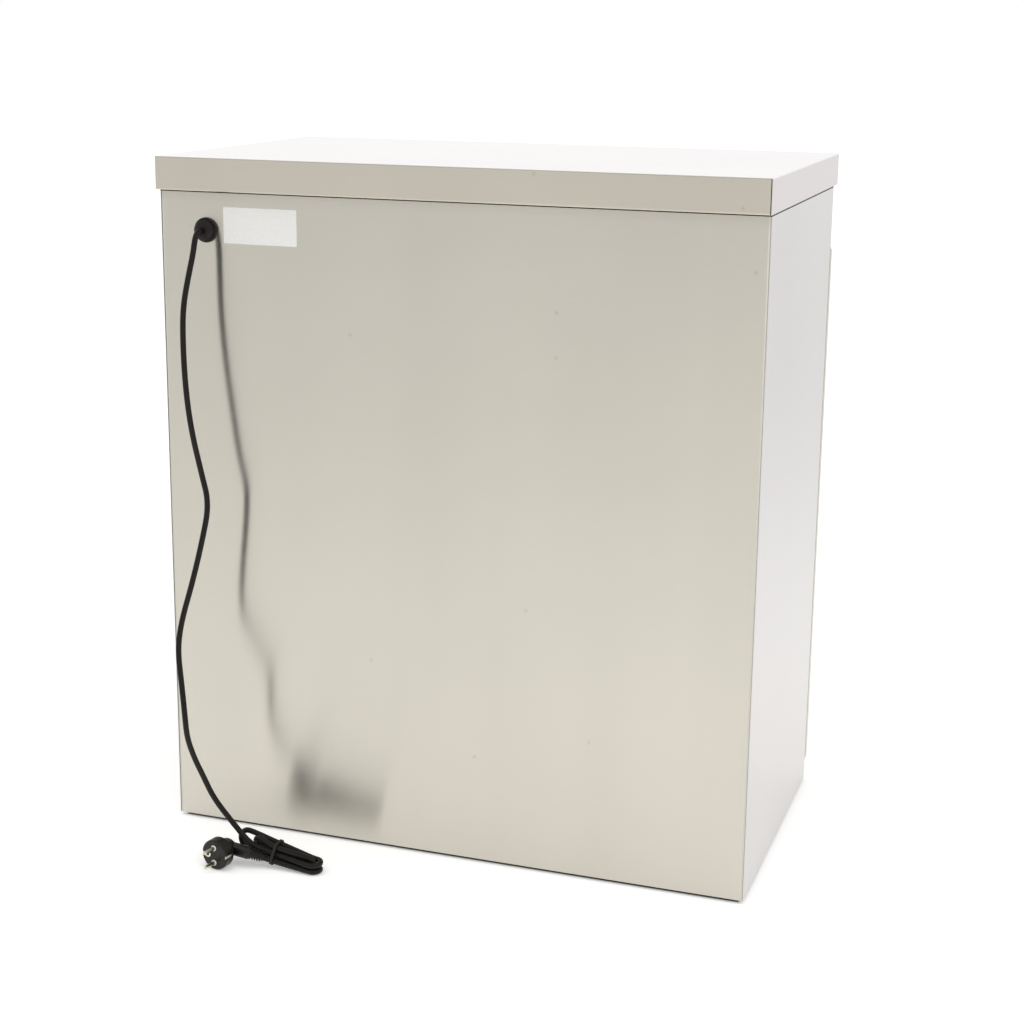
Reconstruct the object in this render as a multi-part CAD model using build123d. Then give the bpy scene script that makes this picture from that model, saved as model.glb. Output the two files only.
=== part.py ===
from build123d import *
import os
from math import cos, pi, radians, sin, tan

# A two-door plate warming cabinet of folded stainless sheet, in millimetres.
# The doors face -Y, the flat back faces +Y, and Z = 0 is the floor it stands on.

# Overall sizes
LID_WIDTH = 750.0
LID_DEPTH = 440.0
HEIGHT = 855.0
SIDE_OVERHANG = 1.0
LID_FLANGE = 40.0
LID_LIP = 8.0
BACK_OVERHANG = 11.0
FRONT_OVERHANG = 11.0
FLOOR_GAP = 5.0

# Sheet metal
SHEET = 0.8
BEND = 1.5
SEAM = 0.2
BACK_FLANGE = 15.0
JAMB_LIP = 12.0
RAIL_SHELF = 20.0
BASE_RISE = 20.0

# Walls and front opening
WALL = 22.0
SILL_TOP = 48.0
HEADER_DROP = 140.0
HEADER_RISE = 33.0
FASCIA_DROP = 117.5
FASCIA_INSET = 2.0
INSULATION_GAP = 0.4
INSULATION_TOP = 20.0
INSULATION_BOTTOM = 35.0

# Doors
DOOR_THICK = 13.0
DOOR_GAP = 3.0
DOOR_BOTTOM = 31.0
DOOR_DROP = 122.0
DOOR_SPLIT = 3.0
INNER_CLEAR = 0.4
GASKET_INSET = 10.0
GASKET_WIDTH = 8.0
GASKET_CLEAR = 0.4

# Hinges
HINGE_INSET = 6.0
HINGE_DEPTH = 7.0
PIN_RADIUS = 2.5
PIN_FIT = 0.05
PIN_ENGAGE = 9.0
BUSH_RADIUS = 4.0
BUSH_FLANGE_RADIUS = 5.4
BUSH_FLANGE = 1.0
BUSH_LENGTH = 10.0
BRACKET_THICK = 2.0
BRACKET_HALF = 5.0
BRACKET_TAIL = 11.5
HINGE_CLEAR = 0.3

# Door handles and catches
HANDLE_REACH = 32.0
HANDLE_BAR = 5.0
HANDLE_SPAN = 128.0
HANDLE_BEND = 14.0
HANDLE_Z = 430.0
HANDLE_INSET = 30.0
SCREW_RADIUS = 2.4
SCREW_DEPTH = 9.0
CATCH_X = 45.0
CATCH_WIDTH = 40.0
CATCH_HEIGHT = 12.0
CATCH_DEPTH = 20.0
STRIKE_THICK = 1.0
CATCH_CLEAR = 0.4

# Controls
KNOB_INSET = 74.0
SWITCH_INSET = 159.0
LAMP_INSET = 199.0
KNOB_RADIUS = 22.0
KNOB_GRIP = 15.5
KNOB_LENGTH = 20.0
KNOB_CLEAR = 0.6
KNOB_FLUTES = 12
SPINDLE_RADIUS = 3.0
SPINDLE_FIT = 0.05
SPINDLE_ENGAGE = 14.0
THERMOSTAT_WIDTH = 44.0
THERMOSTAT_HEIGHT = 34.0
THERMOSTAT_DEPTH = 22.0
SWITCH_HALF_WIDTH = 11.0
SWITCH_HALF_HEIGHT = 13.5
SWITCH_WALL = 1.2
SWITCH_BEZEL = 2.0
SWITCH_DEPTH = 23.0
ROCKER_TILT = 10.0
ROCKER_SETBACK = 4.5
ROCKER_CLEAR = 0.3
TRUNNION_RADIUS = 1.5
LAMP_RADIUS = 5.0
PANEL_FIT = 0.1

# Shelves and heating
SHELF_WIRE = 3.0
SHELF_CROSS_WIRE = 1.5
SHELF_CROSS_COUNT = 15
SHELF_CROSS_PITCH = 44.0
SHELF_CORNER = 20.0
WELD_SINK = 0.8
WELD_OVERLAP = 2.6
SHELF_CLEAR = 0.3
UPRIGHT_DEPTH = 6.0
UPRIGHT_HALF = 9.0
UPRIGHT_INSET = 60.0
UPRIGHT_BOTTOM = 95.0
UPRIGHT_TOP_GAP = 15.0
SLOT_START = 142.0
SLOT_PITCH = 52.0
SLOT_COUNT = 11
SLOT_HALF = 5.0
SLOT_HEIGHT = 11.0
LOWER_SLOT = 3
UPPER_SLOT = 7
CLIP_THICK = 1.5
CLIP_REACH = 14.0
CLIP_HOOK = 8.0
DECK_TOP = 88.8
DECK_HEM = 10.0
DECK_SIDE_GAP = 5.0
DECK_END_GAP = 10.0
DECK_SLOT_LENGTH = 70.0
DECK_SLOT_WIDTH = 8.0
DECK_COLUMNS = 5
DECK_ROWS = 7
DECK_COLUMN_PITCH = 128.0
DECK_ROW_PITCH = 46.0
ELEMENT_RADIUS = 4.0
ELEMENT_Z = 64.0
ELEMENT_PITCH = 80.0
ELEMENT_BEND = 35.0
ELEMENT_END_GAP = 41.2
ELEMENT_TAIL = 10.0
STUD_RADIUS = 2.0
STUD_LENGTH = 8.0
ELEMENT_FIT = 0.3
SUPPORT_X = (-200.0, 0.0, 200.0)
SUPPORT_FOOT = 14.0

# Thermostat bulb and safety cut-out
CAPILLARY_RADIUS = 1.0
CAPILLARY_BEND = 8.0
CAPILLARY_SETBACK = 113.0
BULB_RADIUS = 3.0
BULB_LENGTH = 90.0
BULB_DROP = 10.0
BULB_CLIP_WALL = 1.0
CUTOUT_INSET = 124.0
CUTOUT_Y = 20.0
CUTOUT_RADIUS = 8.0

# Gland, feet and wiring
GLAND_INSET = 61.0
GLAND_DROP = 87.0
GLAND_REACH = 12.0
GLAND_THREAD = 8.0
GLAND_FLANGE = 15.0
GLAND_RIM = 2.5
GLAND_BEVEL = 1.5
GLAND_CAP = 12.5
GLAND_CAP_RISE = 8.0
GLAND_MOUTH = 6.0
GLAND_INNER = 14.0
NUT_HEIGHT = 5.0
NUT_RADIUS = 12.5
FOOT_RADIUS = 15.0
FOOT_STEM = 3.0
FOOT_STEM_RISE = 6.0
FOOT_INSET = 45.0
FOOT_NUT_RADIUS = 5.8
FOOT_NUT_HEIGHT = 4.0
TERMINAL_DEPTH = 18.0
TERMINAL_LENGTH = 50.0
TERMINAL_HEIGHT = 24.0
TERMINAL_INSET = 119.0
TERMINAL_DROP = 80.0
WIRE_RADIUS = 1.2
WIRE_BEND = 12.0
CHASE_LOW = 50.0
CHASE_HIGH = 120.0

# Free cord, hank and plug
CORD_RADIUS = 3.5
HANK_ASIDE = 124.5
HANK_OUT = 94.0
HANK_ANGLE = 174.0
HANK_START = (-46.0, -11.0, 40.0)
HANK_AIM = (0.70, 0.04, -0.71)
HANK_APPROACH = 22.0
TIE_THICK = 1.0
TIE_WIDTH = 3.5
TIE_CLEAR = 0.7
TIE_TILT = 11.0
LEAD_END = (-12.3, -12.9, 13.5)
LEAD_AIM = (-0.914, -0.299, 0.273)
RELIEF_LENGTH = 21.0
RELIEF_END = 4.6
RELIEF_ROOT = 7.0
RELIEF_RIBS = 6
RELIEF_GROOVE = 1.3
PLUG_ANGLE = 78.8
PLUG_RADIUS = 19.0
PLUG_EDGE = 1.5
PLUG_RIM = 14.0
PLUG_WAIST = 13.0
PLUG_COVE = 12.0
PLUG_DEPTH = 36.0
PLUG_FLAT = 3.0
NECK_RADIUS = 8.0
NECK_LENGTH = 29.5
NECK_SETBACK = 27.7
CONTACT_RADIUS = 2.4
CONTACT_SPACING = 19.0
CONTACT_LENGTH = 19.0
CONTACT_SINK = 6.0
CONTACT_TIP = 2.0
EARTH_OFFSET = 10.0
EARTH_BUSH = 4.4
EARTH_DEPTH = 8.0
NOTCH_DEPTH = 2.5
NOTCH_WIDTH = 5.0
NOTCH_LENGTH = 13.0
STRIP_THICK = 1.0
STRIP_EDGE = 0.5

# Where the hank's strands pass the tie, in the cord's order: across the hank, and up
HANK_STRANDS = [(-4.2, 18.4), (4.8, 28.0), (0.0, 10.0), (-4.2, 27.0), (5.6, 18.8), (-9.6, 10.2)]

# The folds between those strands: along the hank, then across and up before and after the turn
HANK_FOLDS = [
    (49.0, (-4.9, 12.0), (12.2, 16.4)),
    (-44.0, (4.8, 36.4), (4.8, 13.4)),
    (41.5, (3.6, 4.2), (2.6, 18.2)),
    (-22.0, (-4.4, 34.0), (3.6, 20.6)),
    (49.0, (11.8, 4.2), (-4.4, 4.2)),
]

# Sizes that follow from those above
CASE_DEPTH = LID_DEPTH - BACK_OVERHANG - FRONT_OVERHANG - DOOR_GAP - DOOR_THICK
BACK_REACH = max(GLAND_REACH, BACK_OVERHANG)
BACK_Y = (CASE_DEPTH + DOOR_GAP + DOOR_THICK + HANDLE_REACH - BACK_REACH) / 2
FRAME_Y = BACK_Y - CASE_DEPTH
DOOR_REAR = FRAME_Y - DOOR_GAP
DOOR_FRONT = DOOR_REAR - DOOR_THICK
LID_BACK = BACK_Y + BACK_OVERHANG
LID_FRONT = LID_BACK - LID_DEPTH
SIDE_X = LID_WIDTH / 2 - SIDE_OVERHANG
SIDE_INNER = SIDE_X - SHEET
TOP_Z = HEIGHT - SHEET
LINER_X = SIDE_X - WALL
CHAMBER_X = LINER_X - SHEET
LINER_BACK = BACK_Y - WALL
CHAMBER_BACK = LINER_BACK - SHEET
LINER_FRONT = FRAME_Y + BEND
CHAMBER_FLOOR = SILL_TOP + SHEET
HEADER_BOTTOM = HEIGHT - HEADER_DROP
FASCIA_BOTTOM = HEIGHT - FASCIA_DROP
DOOR_TOP = HEIGHT - DOOR_DROP
CHAMBER_TOP = HEADER_BOTTOM + SHEET
CEILING_TOP = CHAMBER_TOP + SHEET
RAIL_HALF = LINER_X - SEAM
HINGE_X = SIDE_X - HINGE_INSET
HINGE_Y = DOOR_REAR - HINGE_DEPTH
UPPER_BRACKET = DOOR_TOP + BUSH_FLANGE + HINGE_CLEAR
LOWER_BRACKET = DOOR_BOTTOM - BUSH_FLANGE - HINGE_CLEAR - BRACKET_THICK
CONTROL_Z = (FASCIA_BOTTOM + HEIGHT - LID_FLANGE) / 2
FASCIA_BACK = DOOR_FRONT + SHEET
KNOB_X = SIDE_X - KNOB_INSET
SWITCH_X = SIDE_X - SWITCH_INSET
LAMP_X = SIDE_X - LAMP_INSET
HANDLE_X = DOOR_SPLIT / 2 + HANDLE_INSET
HANDLE_Y = DOOR_FRONT - HANDLE_REACH + HANDLE_BAR
ELEMENT_NEAR = CHAMBER_X - ELEMENT_END_GAP
ELEMENT_ROWS = [(FRAME_Y + CHAMBER_BACK) / 2 + ELEMENT_PITCH * k for k in (-1.5, -0.5, 0.5, 1.5)]
UPRIGHT_X = CHAMBER_X - UPRIGHT_DEPTH
UPRIGHT_TOP = HEADER_BOTTOM - UPRIGHT_TOP_GAP
UPRIGHT_ROWS = (FRAME_Y + UPRIGHT_INSET, CHAMBER_BACK - UPRIGHT_INSET)
FOOT_PLACES = [
    (x, y)
    for x in (-SIDE_X + FOOT_INSET, SIDE_X - FOOT_INSET)
    for y in (FRAME_Y + FOOT_INSET, BACK_Y - FOOT_INSET)
]
CAPILLARY_Y = FRAME_Y + CAPILLARY_SETBACK
BULB_Z = CHAMBER_TOP - BULB_DROP
CUTOUT_X = SIDE_X - CUTOUT_INSET
ROCKER_Y = DOOR_FRONT + ROCKER_SETBACK
GLAND_X = SIDE_X - GLAND_INSET
GLAND_Z = HEIGHT - GLAND_DROP
TERMINAL_Y = BACK_Y - TERMINAL_INSET
TERMINAL_Z = HEIGHT - TERMINAL_DROP
HANK_FRAME = Plane(
    origin=(GLAND_X - HANK_ASIDE, BACK_Y + HANK_OUT, 0),
    x_dir=(cos(radians(HANK_ANGLE)), sin(radians(HANK_ANGLE)), 0),
    z_dir=(0, 0, 1),
)

# The cord's route, chosen by hand: aside from the gland, out from the back panel, and height
CORD_ROUTE = [
    (0.0, GLAND_REACH, GLAND_Z),
    (0.0, GLAND_REACH + 10.0, GLAND_Z),
    (0.4, 28.5, GLAND_Z - 6.5),
    (1.2, 33.0, GLAND_Z - 25.0),
    (5.0, 40.0, 715.0),
    (9.0, 47.5, 680.0),
    (9.0, 50.5, 640.0),
    (5.5, 54.0, 585.0),
    (-1.0, 55.0, 533.0),
    (-11.0, 50.5, 478.0),
    (-20.5, 51.0, 441.0),
    (-14.0, 59.0, 396.0),
    (-4.0, 68.0, 345.0),
    (6.5, 80.0, 297.0),
    (9.0, 87.0, 262.0),
    (-2.0, 100.0, 226.0),
    (-13.0, 114.0, 190.0),
    (-16.2, 116.3, 162.0),
    (-20.0, 106.5, 132.0),
    (-27.5, 100.0, 108.0),
    (-40.5, 98.8, 80.0),
]


def block(low, high):
    """A plain box between two corners."""
    size = [b - a for a, b in zip(low, high)]
    middle = [(a + b) / 2 for a, b in zip(low, high)]
    return Pos(*middle) * Box(*size)


def rod(start, end, radius):
    """A round bar from one point to another."""
    run = Vector(*end) - Vector(*start)
    return extrude(Plane(origin=start, z_dir=run) * Circle(radius), amount=run.length)


def folded(outline, plane, low, high, sheet=SHEET):
    """A sheet bent along its outer face, with the metal on the right of the outline."""
    line = FilletPolyline(*outline, radius=BEND)
    section = make_face(offset(line, amount=sheet, side=Side.RIGHT, closed=True))
    return extrude(plane.offset(low) * section, amount=high - low)


def turned(profile, plane):
    """A solid of revolution: profile points are radius and height along the plane's normal."""
    section = make_face(Polyline(*profile, close=True))
    return plane * revolve(Plane.XZ * section, axis=Axis.Z)


def swept_tube(points, radius, radii):
    """A round tube along straight runs joined by tangent arcs."""
    path = FilletPolyline(*points, radius=radii)
    return sweep(Plane(origin=path @ 0, z_dir=path % 0) * Circle(radius), path=path)


def facing_front(x, y, z):
    """A plane whose normal leaves the cabinet's front."""
    return Plane(origin=(x, y, z), x_dir=(1, 0, 0), z_dir=(0, -1, 0))


def facing_back(x, y, z):
    """A plane whose normal leaves the cabinet's back."""
    return Plane(origin=(x, y, z), x_dir=(-1, 0, 0), z_dir=(0, 1, 0))


def left_of(solid):
    """The mirror image on the other side of the cabinet."""
    return mirror(solid, about=Plane.YZ)


# Casing

def make_lid():
    """A pan folded on four sides, its corners left open as narrow seams."""
    half = LID_WIDTH / 2
    low = HEIGHT - LID_FLANGE
    long_folds = folded(
        [
            (LID_FRONT + LID_LIP, low),
            (LID_FRONT, low),
            (LID_FRONT, HEIGHT),
            (LID_BACK, HEIGHT),
            (LID_BACK, low),
            (LID_BACK - LID_LIP, low),
        ],
        Plane.YZ, -half + BEND, half - BEND,
    )
    end_folds = folded(
        [(-half, low), (-half, HEIGHT), (half, HEIGHT), (half, low)],
        Plane.XZ, -LID_BACK + BEND, -LID_FRONT - BEND,
    )
    return long_folds + end_folds


def make_back_panel():
    """The flat back with its edges turned forward inside the side panels."""
    half = SIDE_INNER - SEAM
    panel = folded(
        [
            (-half, BACK_Y - BACK_FLANGE),
            (-half, BACK_Y),
            (half, BACK_Y),
            (half, BACK_Y - BACK_FLANGE),
        ],
        Plane.XY, FLOOR_GAP, TOP_Z,
    )
    hole = Cylinder(GLAND_THREAD + PANEL_FIT, 6 * SHEET)
    return panel - facing_back(GLAND_X, BACK_Y, GLAND_Z) * hole


def bracket_slot(z):
    """The cut in a jamb that a hinge bracket's tail passes through."""
    return block(
        (HINGE_X - BRACKET_HALF - PANEL_FIT, FRAME_Y - 1, z - PANEL_FIT),
        (HINGE_X + BRACKET_HALF + PANEL_FIT, FRAME_Y + 2, z + BRACKET_THICK + PANEL_FIT),
    )


def make_side_panel():
    """A side with its front edge returned as the door jamb."""
    panel = folded(
        [
            (SIDE_X, BACK_Y),
            (SIDE_X, FRAME_Y),
            (LINER_X, FRAME_Y),
            (LINER_X, FRAME_Y + JAMB_LIP),
        ],
        Plane.XY, FLOOR_GAP, HEIGHT - BEND,
    )
    return panel - bracket_slot(UPPER_BRACKET) - bracket_slot(LOWER_BRACKET)


def make_base_pan():
    """The underside: a shallow tray with holes for the feet."""
    half = SIDE_INNER - SHEET - 2 * SEAM
    tray = block(
        (-half, FRAME_Y + JAMB_LIP + SEAM, FLOOR_GAP),
        (half, BACK_Y - SHEET - SEAM, FLOOR_GAP + BASE_RISE),
    )
    tray = fillet(tray.faces().sort_by(Axis.Z)[0].edges(), BEND)
    tray = offset(tray, amount=-SHEET, openings=tray.faces().sort_by(Axis.Z)[-1])
    for x, y in FOOT_PLACES:
        tray -= Pos(x, y, FLOOR_GAP) * Cylinder(FOOT_STEM + PANEL_FIT, 4 * SHEET)
    return tray


def make_sill_rail():
    """The cross rail under the doors, with a shelf that carries the chamber floor."""
    outline = [
        (FRAME_Y + JAMB_LIP, FLOOR_GAP),
        (FRAME_Y, FLOOR_GAP),
        (FRAME_Y, SILL_TOP),
        (FRAME_Y + RAIL_SHELF, SILL_TOP),
    ]
    return folded(outline, Plane.YZ, -RAIL_HALF, RAIL_HALF)


def make_header_rail():
    """The cross rail over the doors, with a shelf that carries the chamber ceiling."""
    outline = [
        (FRAME_Y + RAIL_SHELF, HEADER_BOTTOM),
        (FRAME_Y, HEADER_BOTTOM),
        (FRAME_Y, HEADER_BOTTOM + HEADER_RISE),
    ]
    half = CHAMBER_X - SEAM
    return folded(outline, Plane.YZ, -half, half)


def make_control_panel():
    """The fascia over the doors, a pan open at its back and top, cut for the controls."""
    half = SIDE_X - FASCIA_INSET
    pan = block((-half, DOOR_FRONT, FASCIA_BOTTOM), (half, FRAME_Y - SEAM, TOP_Z))
    front = pan.faces().sort_by(Axis.Y)[0]
    pan = fillet(front.edges().sort_by(Axis.Z)[:-1], BEND)
    back = pan.faces().sort_by(Axis.Y)[-1]
    top = pan.faces().sort_by(Axis.Z)[-1]
    pan = offset(pan, amount=-SHEET, openings=[back, top])
    through = 6 * SHEET
    pan -= facing_front(KNOB_X, DOOR_FRONT, CONTROL_Z) * Cylinder(SPINDLE_RADIUS + 1, through)
    pan -= facing_front(LAMP_X, DOOR_FRONT, CONTROL_Z) * Cylinder(LAMP_RADIUS + PANEL_FIT, through)
    pan -= Pos(SWITCH_X, DOOR_FRONT, CONTROL_Z) * Box(
        2 * (SWITCH_HALF_WIDTH + PANEL_FIT), through, 2 * (SWITCH_HALF_HEIGHT + PANEL_FIT)
    )
    return pan


# Chamber

def make_liner_side():
    """The chamber's side sheet, with two holes for the heating element's tails."""
    sheet = block((CHAMBER_X, LINER_FRONT, SILL_TOP), (LINER_X, CHAMBER_BACK, CEILING_TOP))
    for y in (ELEMENT_ROWS[0], ELEMENT_ROWS[-1]):
        sheet -= rod(
            (CHAMBER_X - 1, y, ELEMENT_Z), (LINER_X + 1, y, ELEMENT_Z), ELEMENT_RADIUS + ELEMENT_FIT
        )
    return sheet


def make_liner_back():
    return block((-LINER_X, CHAMBER_BACK, SILL_TOP), (LINER_X, LINER_BACK, CEILING_TOP))


def make_liner_floor():
    return block((-CHAMBER_X, LINER_FRONT, SILL_TOP), (CHAMBER_X, CHAMBER_BACK, CHAMBER_FLOOR))


def make_liner_ceiling():
    """The chamber's top sheet, with a hole for the thermostat's capillary."""
    sheet = block((-CHAMBER_X, LINER_FRONT, CHAMBER_TOP), (CHAMBER_X, CHAMBER_BACK, CEILING_TOP))
    hole = Cylinder(CAPILLARY_RADIUS + 1, 8 * SHEET)
    return sheet - Pos(KNOB_X, CAPILLARY_Y, CHAMBER_TOP) * hole


def make_insulation():
    """Mineral wool slabs in the walls, with a chase for the element's wires on one side."""
    gap = INSULATION_GAP
    bottom = FLOOR_GAP + BASE_RISE + gap
    side_low = (LINER_X + gap, FRAME_Y + JAMB_LIP + gap, bottom)
    side_high = (SIDE_INNER - gap, BACK_Y - BACK_FLANGE - gap, CHAMBER_TOP)
    side = block(side_low, side_high)
    row = ELEMENT_ROWS[-1]
    chase = block(
        (side_low[0] - 1, TERMINAL_Y - 20, CHASE_LOW), (side_high[0] + 1, row + 8, side_high[2] + 1)
    )
    chase += block(
        (side_low[0] - 1, ELEMENT_ROWS[0] - 8, CHASE_LOW), (side_high[0] + 1, row + 8, CHASE_HIGH)
    )
    across = LINER_X - gap
    front = FRAME_Y + RAIL_SHELF + gap
    rear = block((-across, LINER_BACK + gap, bottom), (across, BACK_Y - SHEET - gap, CHAMBER_TOP))
    under = block(
        (-across, front, SILL_TOP - INSULATION_BOTTOM), (across, CHAMBER_BACK, SILL_TOP - gap)
    )
    over = block(
        (-across, front, CEILING_TOP + gap), (across, CHAMBER_BACK, CEILING_TOP + INSULATION_TOP)
    )
    over -= Pos(KNOB_X, CAPILLARY_Y, CEILING_TOP) * Cylinder(CAPILLARY_RADIUS + 2, 3 * INSULATION_TOP)
    over -= Pos(CUTOUT_X, CUTOUT_Y, CEILING_TOP) * Cylinder(2 * CUTOUT_RADIUS, 3 * INSULATION_TOP)
    return side - chase + left_of(side) + rear + under + over


# Heating

def make_heating_element():
    """A sheathed tube folded in four passes, its two tails ending in terminal studs."""
    tail = LINER_X + ELEMENT_TAIL
    turn = ELEMENT_NEAR - ELEMENT_PITCH / 4
    rows = ELEMENT_ROWS
    points = [
        (tail, rows[0], ELEMENT_Z), (-ELEMENT_NEAR, rows[0], ELEMENT_Z),
        (-ELEMENT_NEAR, rows[1], ELEMENT_Z), (turn, rows[1], ELEMENT_Z),
        (turn, rows[2], ELEMENT_Z), (-ELEMENT_NEAR, rows[2], ELEMENT_Z),
        (-ELEMENT_NEAR, rows[3], ELEMENT_Z), (tail, rows[3], ELEMENT_Z),
    ]
    element = swept_tube(points, ELEMENT_RADIUS, ELEMENT_BEND)
    for y in (rows[0], rows[3]):
        element += rod((tail, y, ELEMENT_Z), (tail + STUD_LENGTH, y, ELEMENT_Z), STUD_RADIUS)
    return element


def make_element_supports():
    """Folded plates that stand on the chamber floor, hold the tube and carry the deck."""
    first, last = ELEMENT_ROWS[0] - UPRIGHT_INSET / 2, ELEMENT_ROWS[-1] + UPRIGHT_INSET / 2
    under_deck = DECK_TOP - SHEET
    plates = None
    for x in SUPPORT_X:
        outline = [
            (x + SUPPORT_FOOT, CHAMBER_FLOOR), (x, CHAMBER_FLOOR),
            (x, under_deck), (x + SUPPORT_FOOT, under_deck),
        ]
        plate = folded(outline, Plane.XZ, -last, -first)
        for y in ELEMENT_ROWS:
            plate -= rod((x - 2, y, ELEMENT_Z), (x + 2, y, ELEMENT_Z), ELEMENT_RADIUS + ELEMENT_FIT)
        plates = plate if plates is None else plates + plate
    return plates


def make_element_deck():
    """The slotted deck over the heating element, hemmed at its front and back."""
    half = CHAMBER_X - DECK_SIDE_GAP
    front, back = FRAME_Y + DECK_END_GAP, CHAMBER_BACK - DECK_END_GAP
    outline = [
        (front, DECK_TOP - DECK_HEM), (front, DECK_TOP), (back, DECK_TOP), (back, DECK_TOP - DECK_HEM),
    ]
    deck = folded(outline, Plane.YZ, -half, half)
    middle = (front + back) / 2
    slots = GridLocations(DECK_COLUMN_PITCH, DECK_ROW_PITCH, DECK_COLUMNS, DECK_ROWS)
    slot = SlotOverall(DECK_SLOT_LENGTH, DECK_SLOT_WIDTH)
    cutter = extrude(Pos(0, middle, DECK_TOP - 3) * (Sketch() + slots * slot), amount=6)
    return deck - cutter


# Shelves

def make_shelf_uprights():
    """Slotted channels on the chamber's sides, which take the shelf clips."""
    uprights = None
    for y in UPRIGHT_ROWS:
        outline = [
            (CHAMBER_X, y - UPRIGHT_HALF), (UPRIGHT_X, y - UPRIGHT_HALF),
            (UPRIGHT_X, y + UPRIGHT_HALF), (CHAMBER_X, y + UPRIGHT_HALF),
        ]
        channel = folded(outline, Plane.XY, UPRIGHT_BOTTOM, UPRIGHT_TOP)
        for k in range(SLOT_COUNT):
            z = SLOT_START + k * SLOT_PITCH
            channel -= block(
                (UPRIGHT_X - 1, y - SLOT_HALF, z - SLOT_HEIGHT + 1), (UPRIGHT_X + 1, y + SLOT_HALF, z + 1)
            )
        uprights = channel if uprights is None else uprights + channel
    return uprights + left_of(uprights)


def make_shelf_clips():
    """Bent tongues hooked behind the slots, four under each shelf."""
    clips = None
    behind = UPRIGHT_X + SHEET + SEAM + CLIP_THICK
    half = SLOT_HALF - SEAM
    for index in (LOWER_SLOT, UPPER_SLOT):
        z = SLOT_START + index * SLOT_PITCH
        for y in UPRIGHT_ROWS:
            outline = [(UPRIGHT_X - CLIP_REACH, z), (behind, z), (behind, z - CLIP_HOOK)]
            clip = folded(outline, Plane.XZ, -y - half, -y + half, CLIP_THICK)
            clips = clip if clips is None else clips + clip
    return clips + left_of(clips)


def make_shelf():
    """A wire shelf at floor height: a round frame, two stiffeners and a row of welded cross wires."""
    half = UPRIGHT_X - CLIP_REACH / 2
    front, back = FRAME_Y + UPRIGHT_INSET / 2, CHAMBER_BACK - UPRIGHT_INSET / 4
    depth, middle = back - front, (front + back) / 2
    path = (Pos(0, middle, 0) * RectangleRounded(2 * half, depth, SHELF_CORNER)).wire()
    shelf = sweep(Plane(origin=path @ 0, z_dir=path % 0) * Circle(SHELF_WIRE), path=path)
    # Turned so that the seam of its surface stays clear of the joints with the frame
    stiffener = Rot(45, 0, 0) * rod((-half, 0, 0), (half, 0, 0), SHELF_WIRE)
    for y in (middle - depth / 5, middle + depth / 5):
        shelf += Pos(0, y, 0) * stiffener
    level = SHELF_WIRE + SHELF_CROSS_WIRE - WELD_SINK
    first = -SHELF_CROSS_PITCH * (SHELF_CROSS_COUNT - 1) / 2
    wires = []
    for k in range(SHELF_CROSS_COUNT):
        x = first + k * SHELF_CROSS_PITCH
        wires.append(
            rod((x, front - WELD_OVERLAP, level), (x, back + WELD_OVERLAP, level), SHELF_CROSS_WIRE)
        )
    return shelf + wires


def shelf_place(index):
    """Where a shelf lies on the clips of a numbered slot."""
    return Pos(0, 0, SLOT_START + index * SLOT_PITCH + SHELF_CLEAR + SHELF_WIRE)


# Controls

def make_thermostat_body():
    """The switch box behind the fascia, bored for its spindle."""
    half, rise = THERMOSTAT_WIDTH / 2, THERMOSTAT_HEIGHT / 2
    body = block(
        (KNOB_X - half, FASCIA_BACK, CONTROL_Z - rise),
        (KNOB_X + half, FASCIA_BACK + THERMOSTAT_DEPTH, CONTROL_Z + rise),
    )
    body = chamfer(body.faces().sort_by(Axis.Y)[-1].edges(), 2)
    bore = rod(
        (KNOB_X, FASCIA_BACK - 1, CONTROL_Z),
        (KNOB_X, FASCIA_BACK + SPINDLE_ENGAGE + 1, CONTROL_Z),
        SPINDLE_RADIUS + SPINDLE_FIT,
    )
    return body - bore


def spindle_form(extra):
    """The spindle's round bar with a flat on its outer end, grown all round by extra."""
    outer = DOOR_FRONT - KNOB_CLEAR - KNOB_LENGTH + 5
    bar = rod(
        (KNOB_X, outer - extra, CONTROL_Z),
        (KNOB_X, FASCIA_BACK + SPINDLE_ENGAGE, CONTROL_Z),
        SPINDLE_RADIUS + extra,
    )
    level = CONTROL_Z - SPINDLE_RADIUS + 1.5 - extra
    flat = block(
        (KNOB_X - 5, outer - 2, level - 5), (KNOB_X + 5, DOOR_FRONT - KNOB_CLEAR, level)
    )
    return bar - flat


def make_thermostat_knob():
    """A skirted knob with a fluted grip and a pointer groove."""
    base = facing_front(KNOB_X, DOOR_FRONT - KNOB_CLEAR, CONTROL_Z)
    profile = [
        (0, 0), (KNOB_RADIUS, 0), (KNOB_RADIUS, 2.5), (KNOB_GRIP + 1.5, 5.5),
        (KNOB_GRIP, 7), (KNOB_GRIP - 1, KNOB_LENGTH - 1.5), (KNOB_GRIP - 2.5, KNOB_LENGTH),
        (0, KNOB_LENGTH),
    ]
    knob = turned(profile, base)
    flutes = PolarLocations(KNOB_GRIP + 1.4, KNOB_FLUTES, start_angle=180 / KNOB_FLUTES)
    flute = extrude(Pos(0, 0, 6.2) * (Sketch() + flutes * Circle(2.4)), amount=KNOB_LENGTH)
    knob -= base * flute
    knob -= base * Pos(0, KNOB_GRIP / 2, KNOB_LENGTH) * Box(1.6, KNOB_GRIP, 1.6)
    return knob - spindle_form(SPINDLE_FIT)


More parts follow.
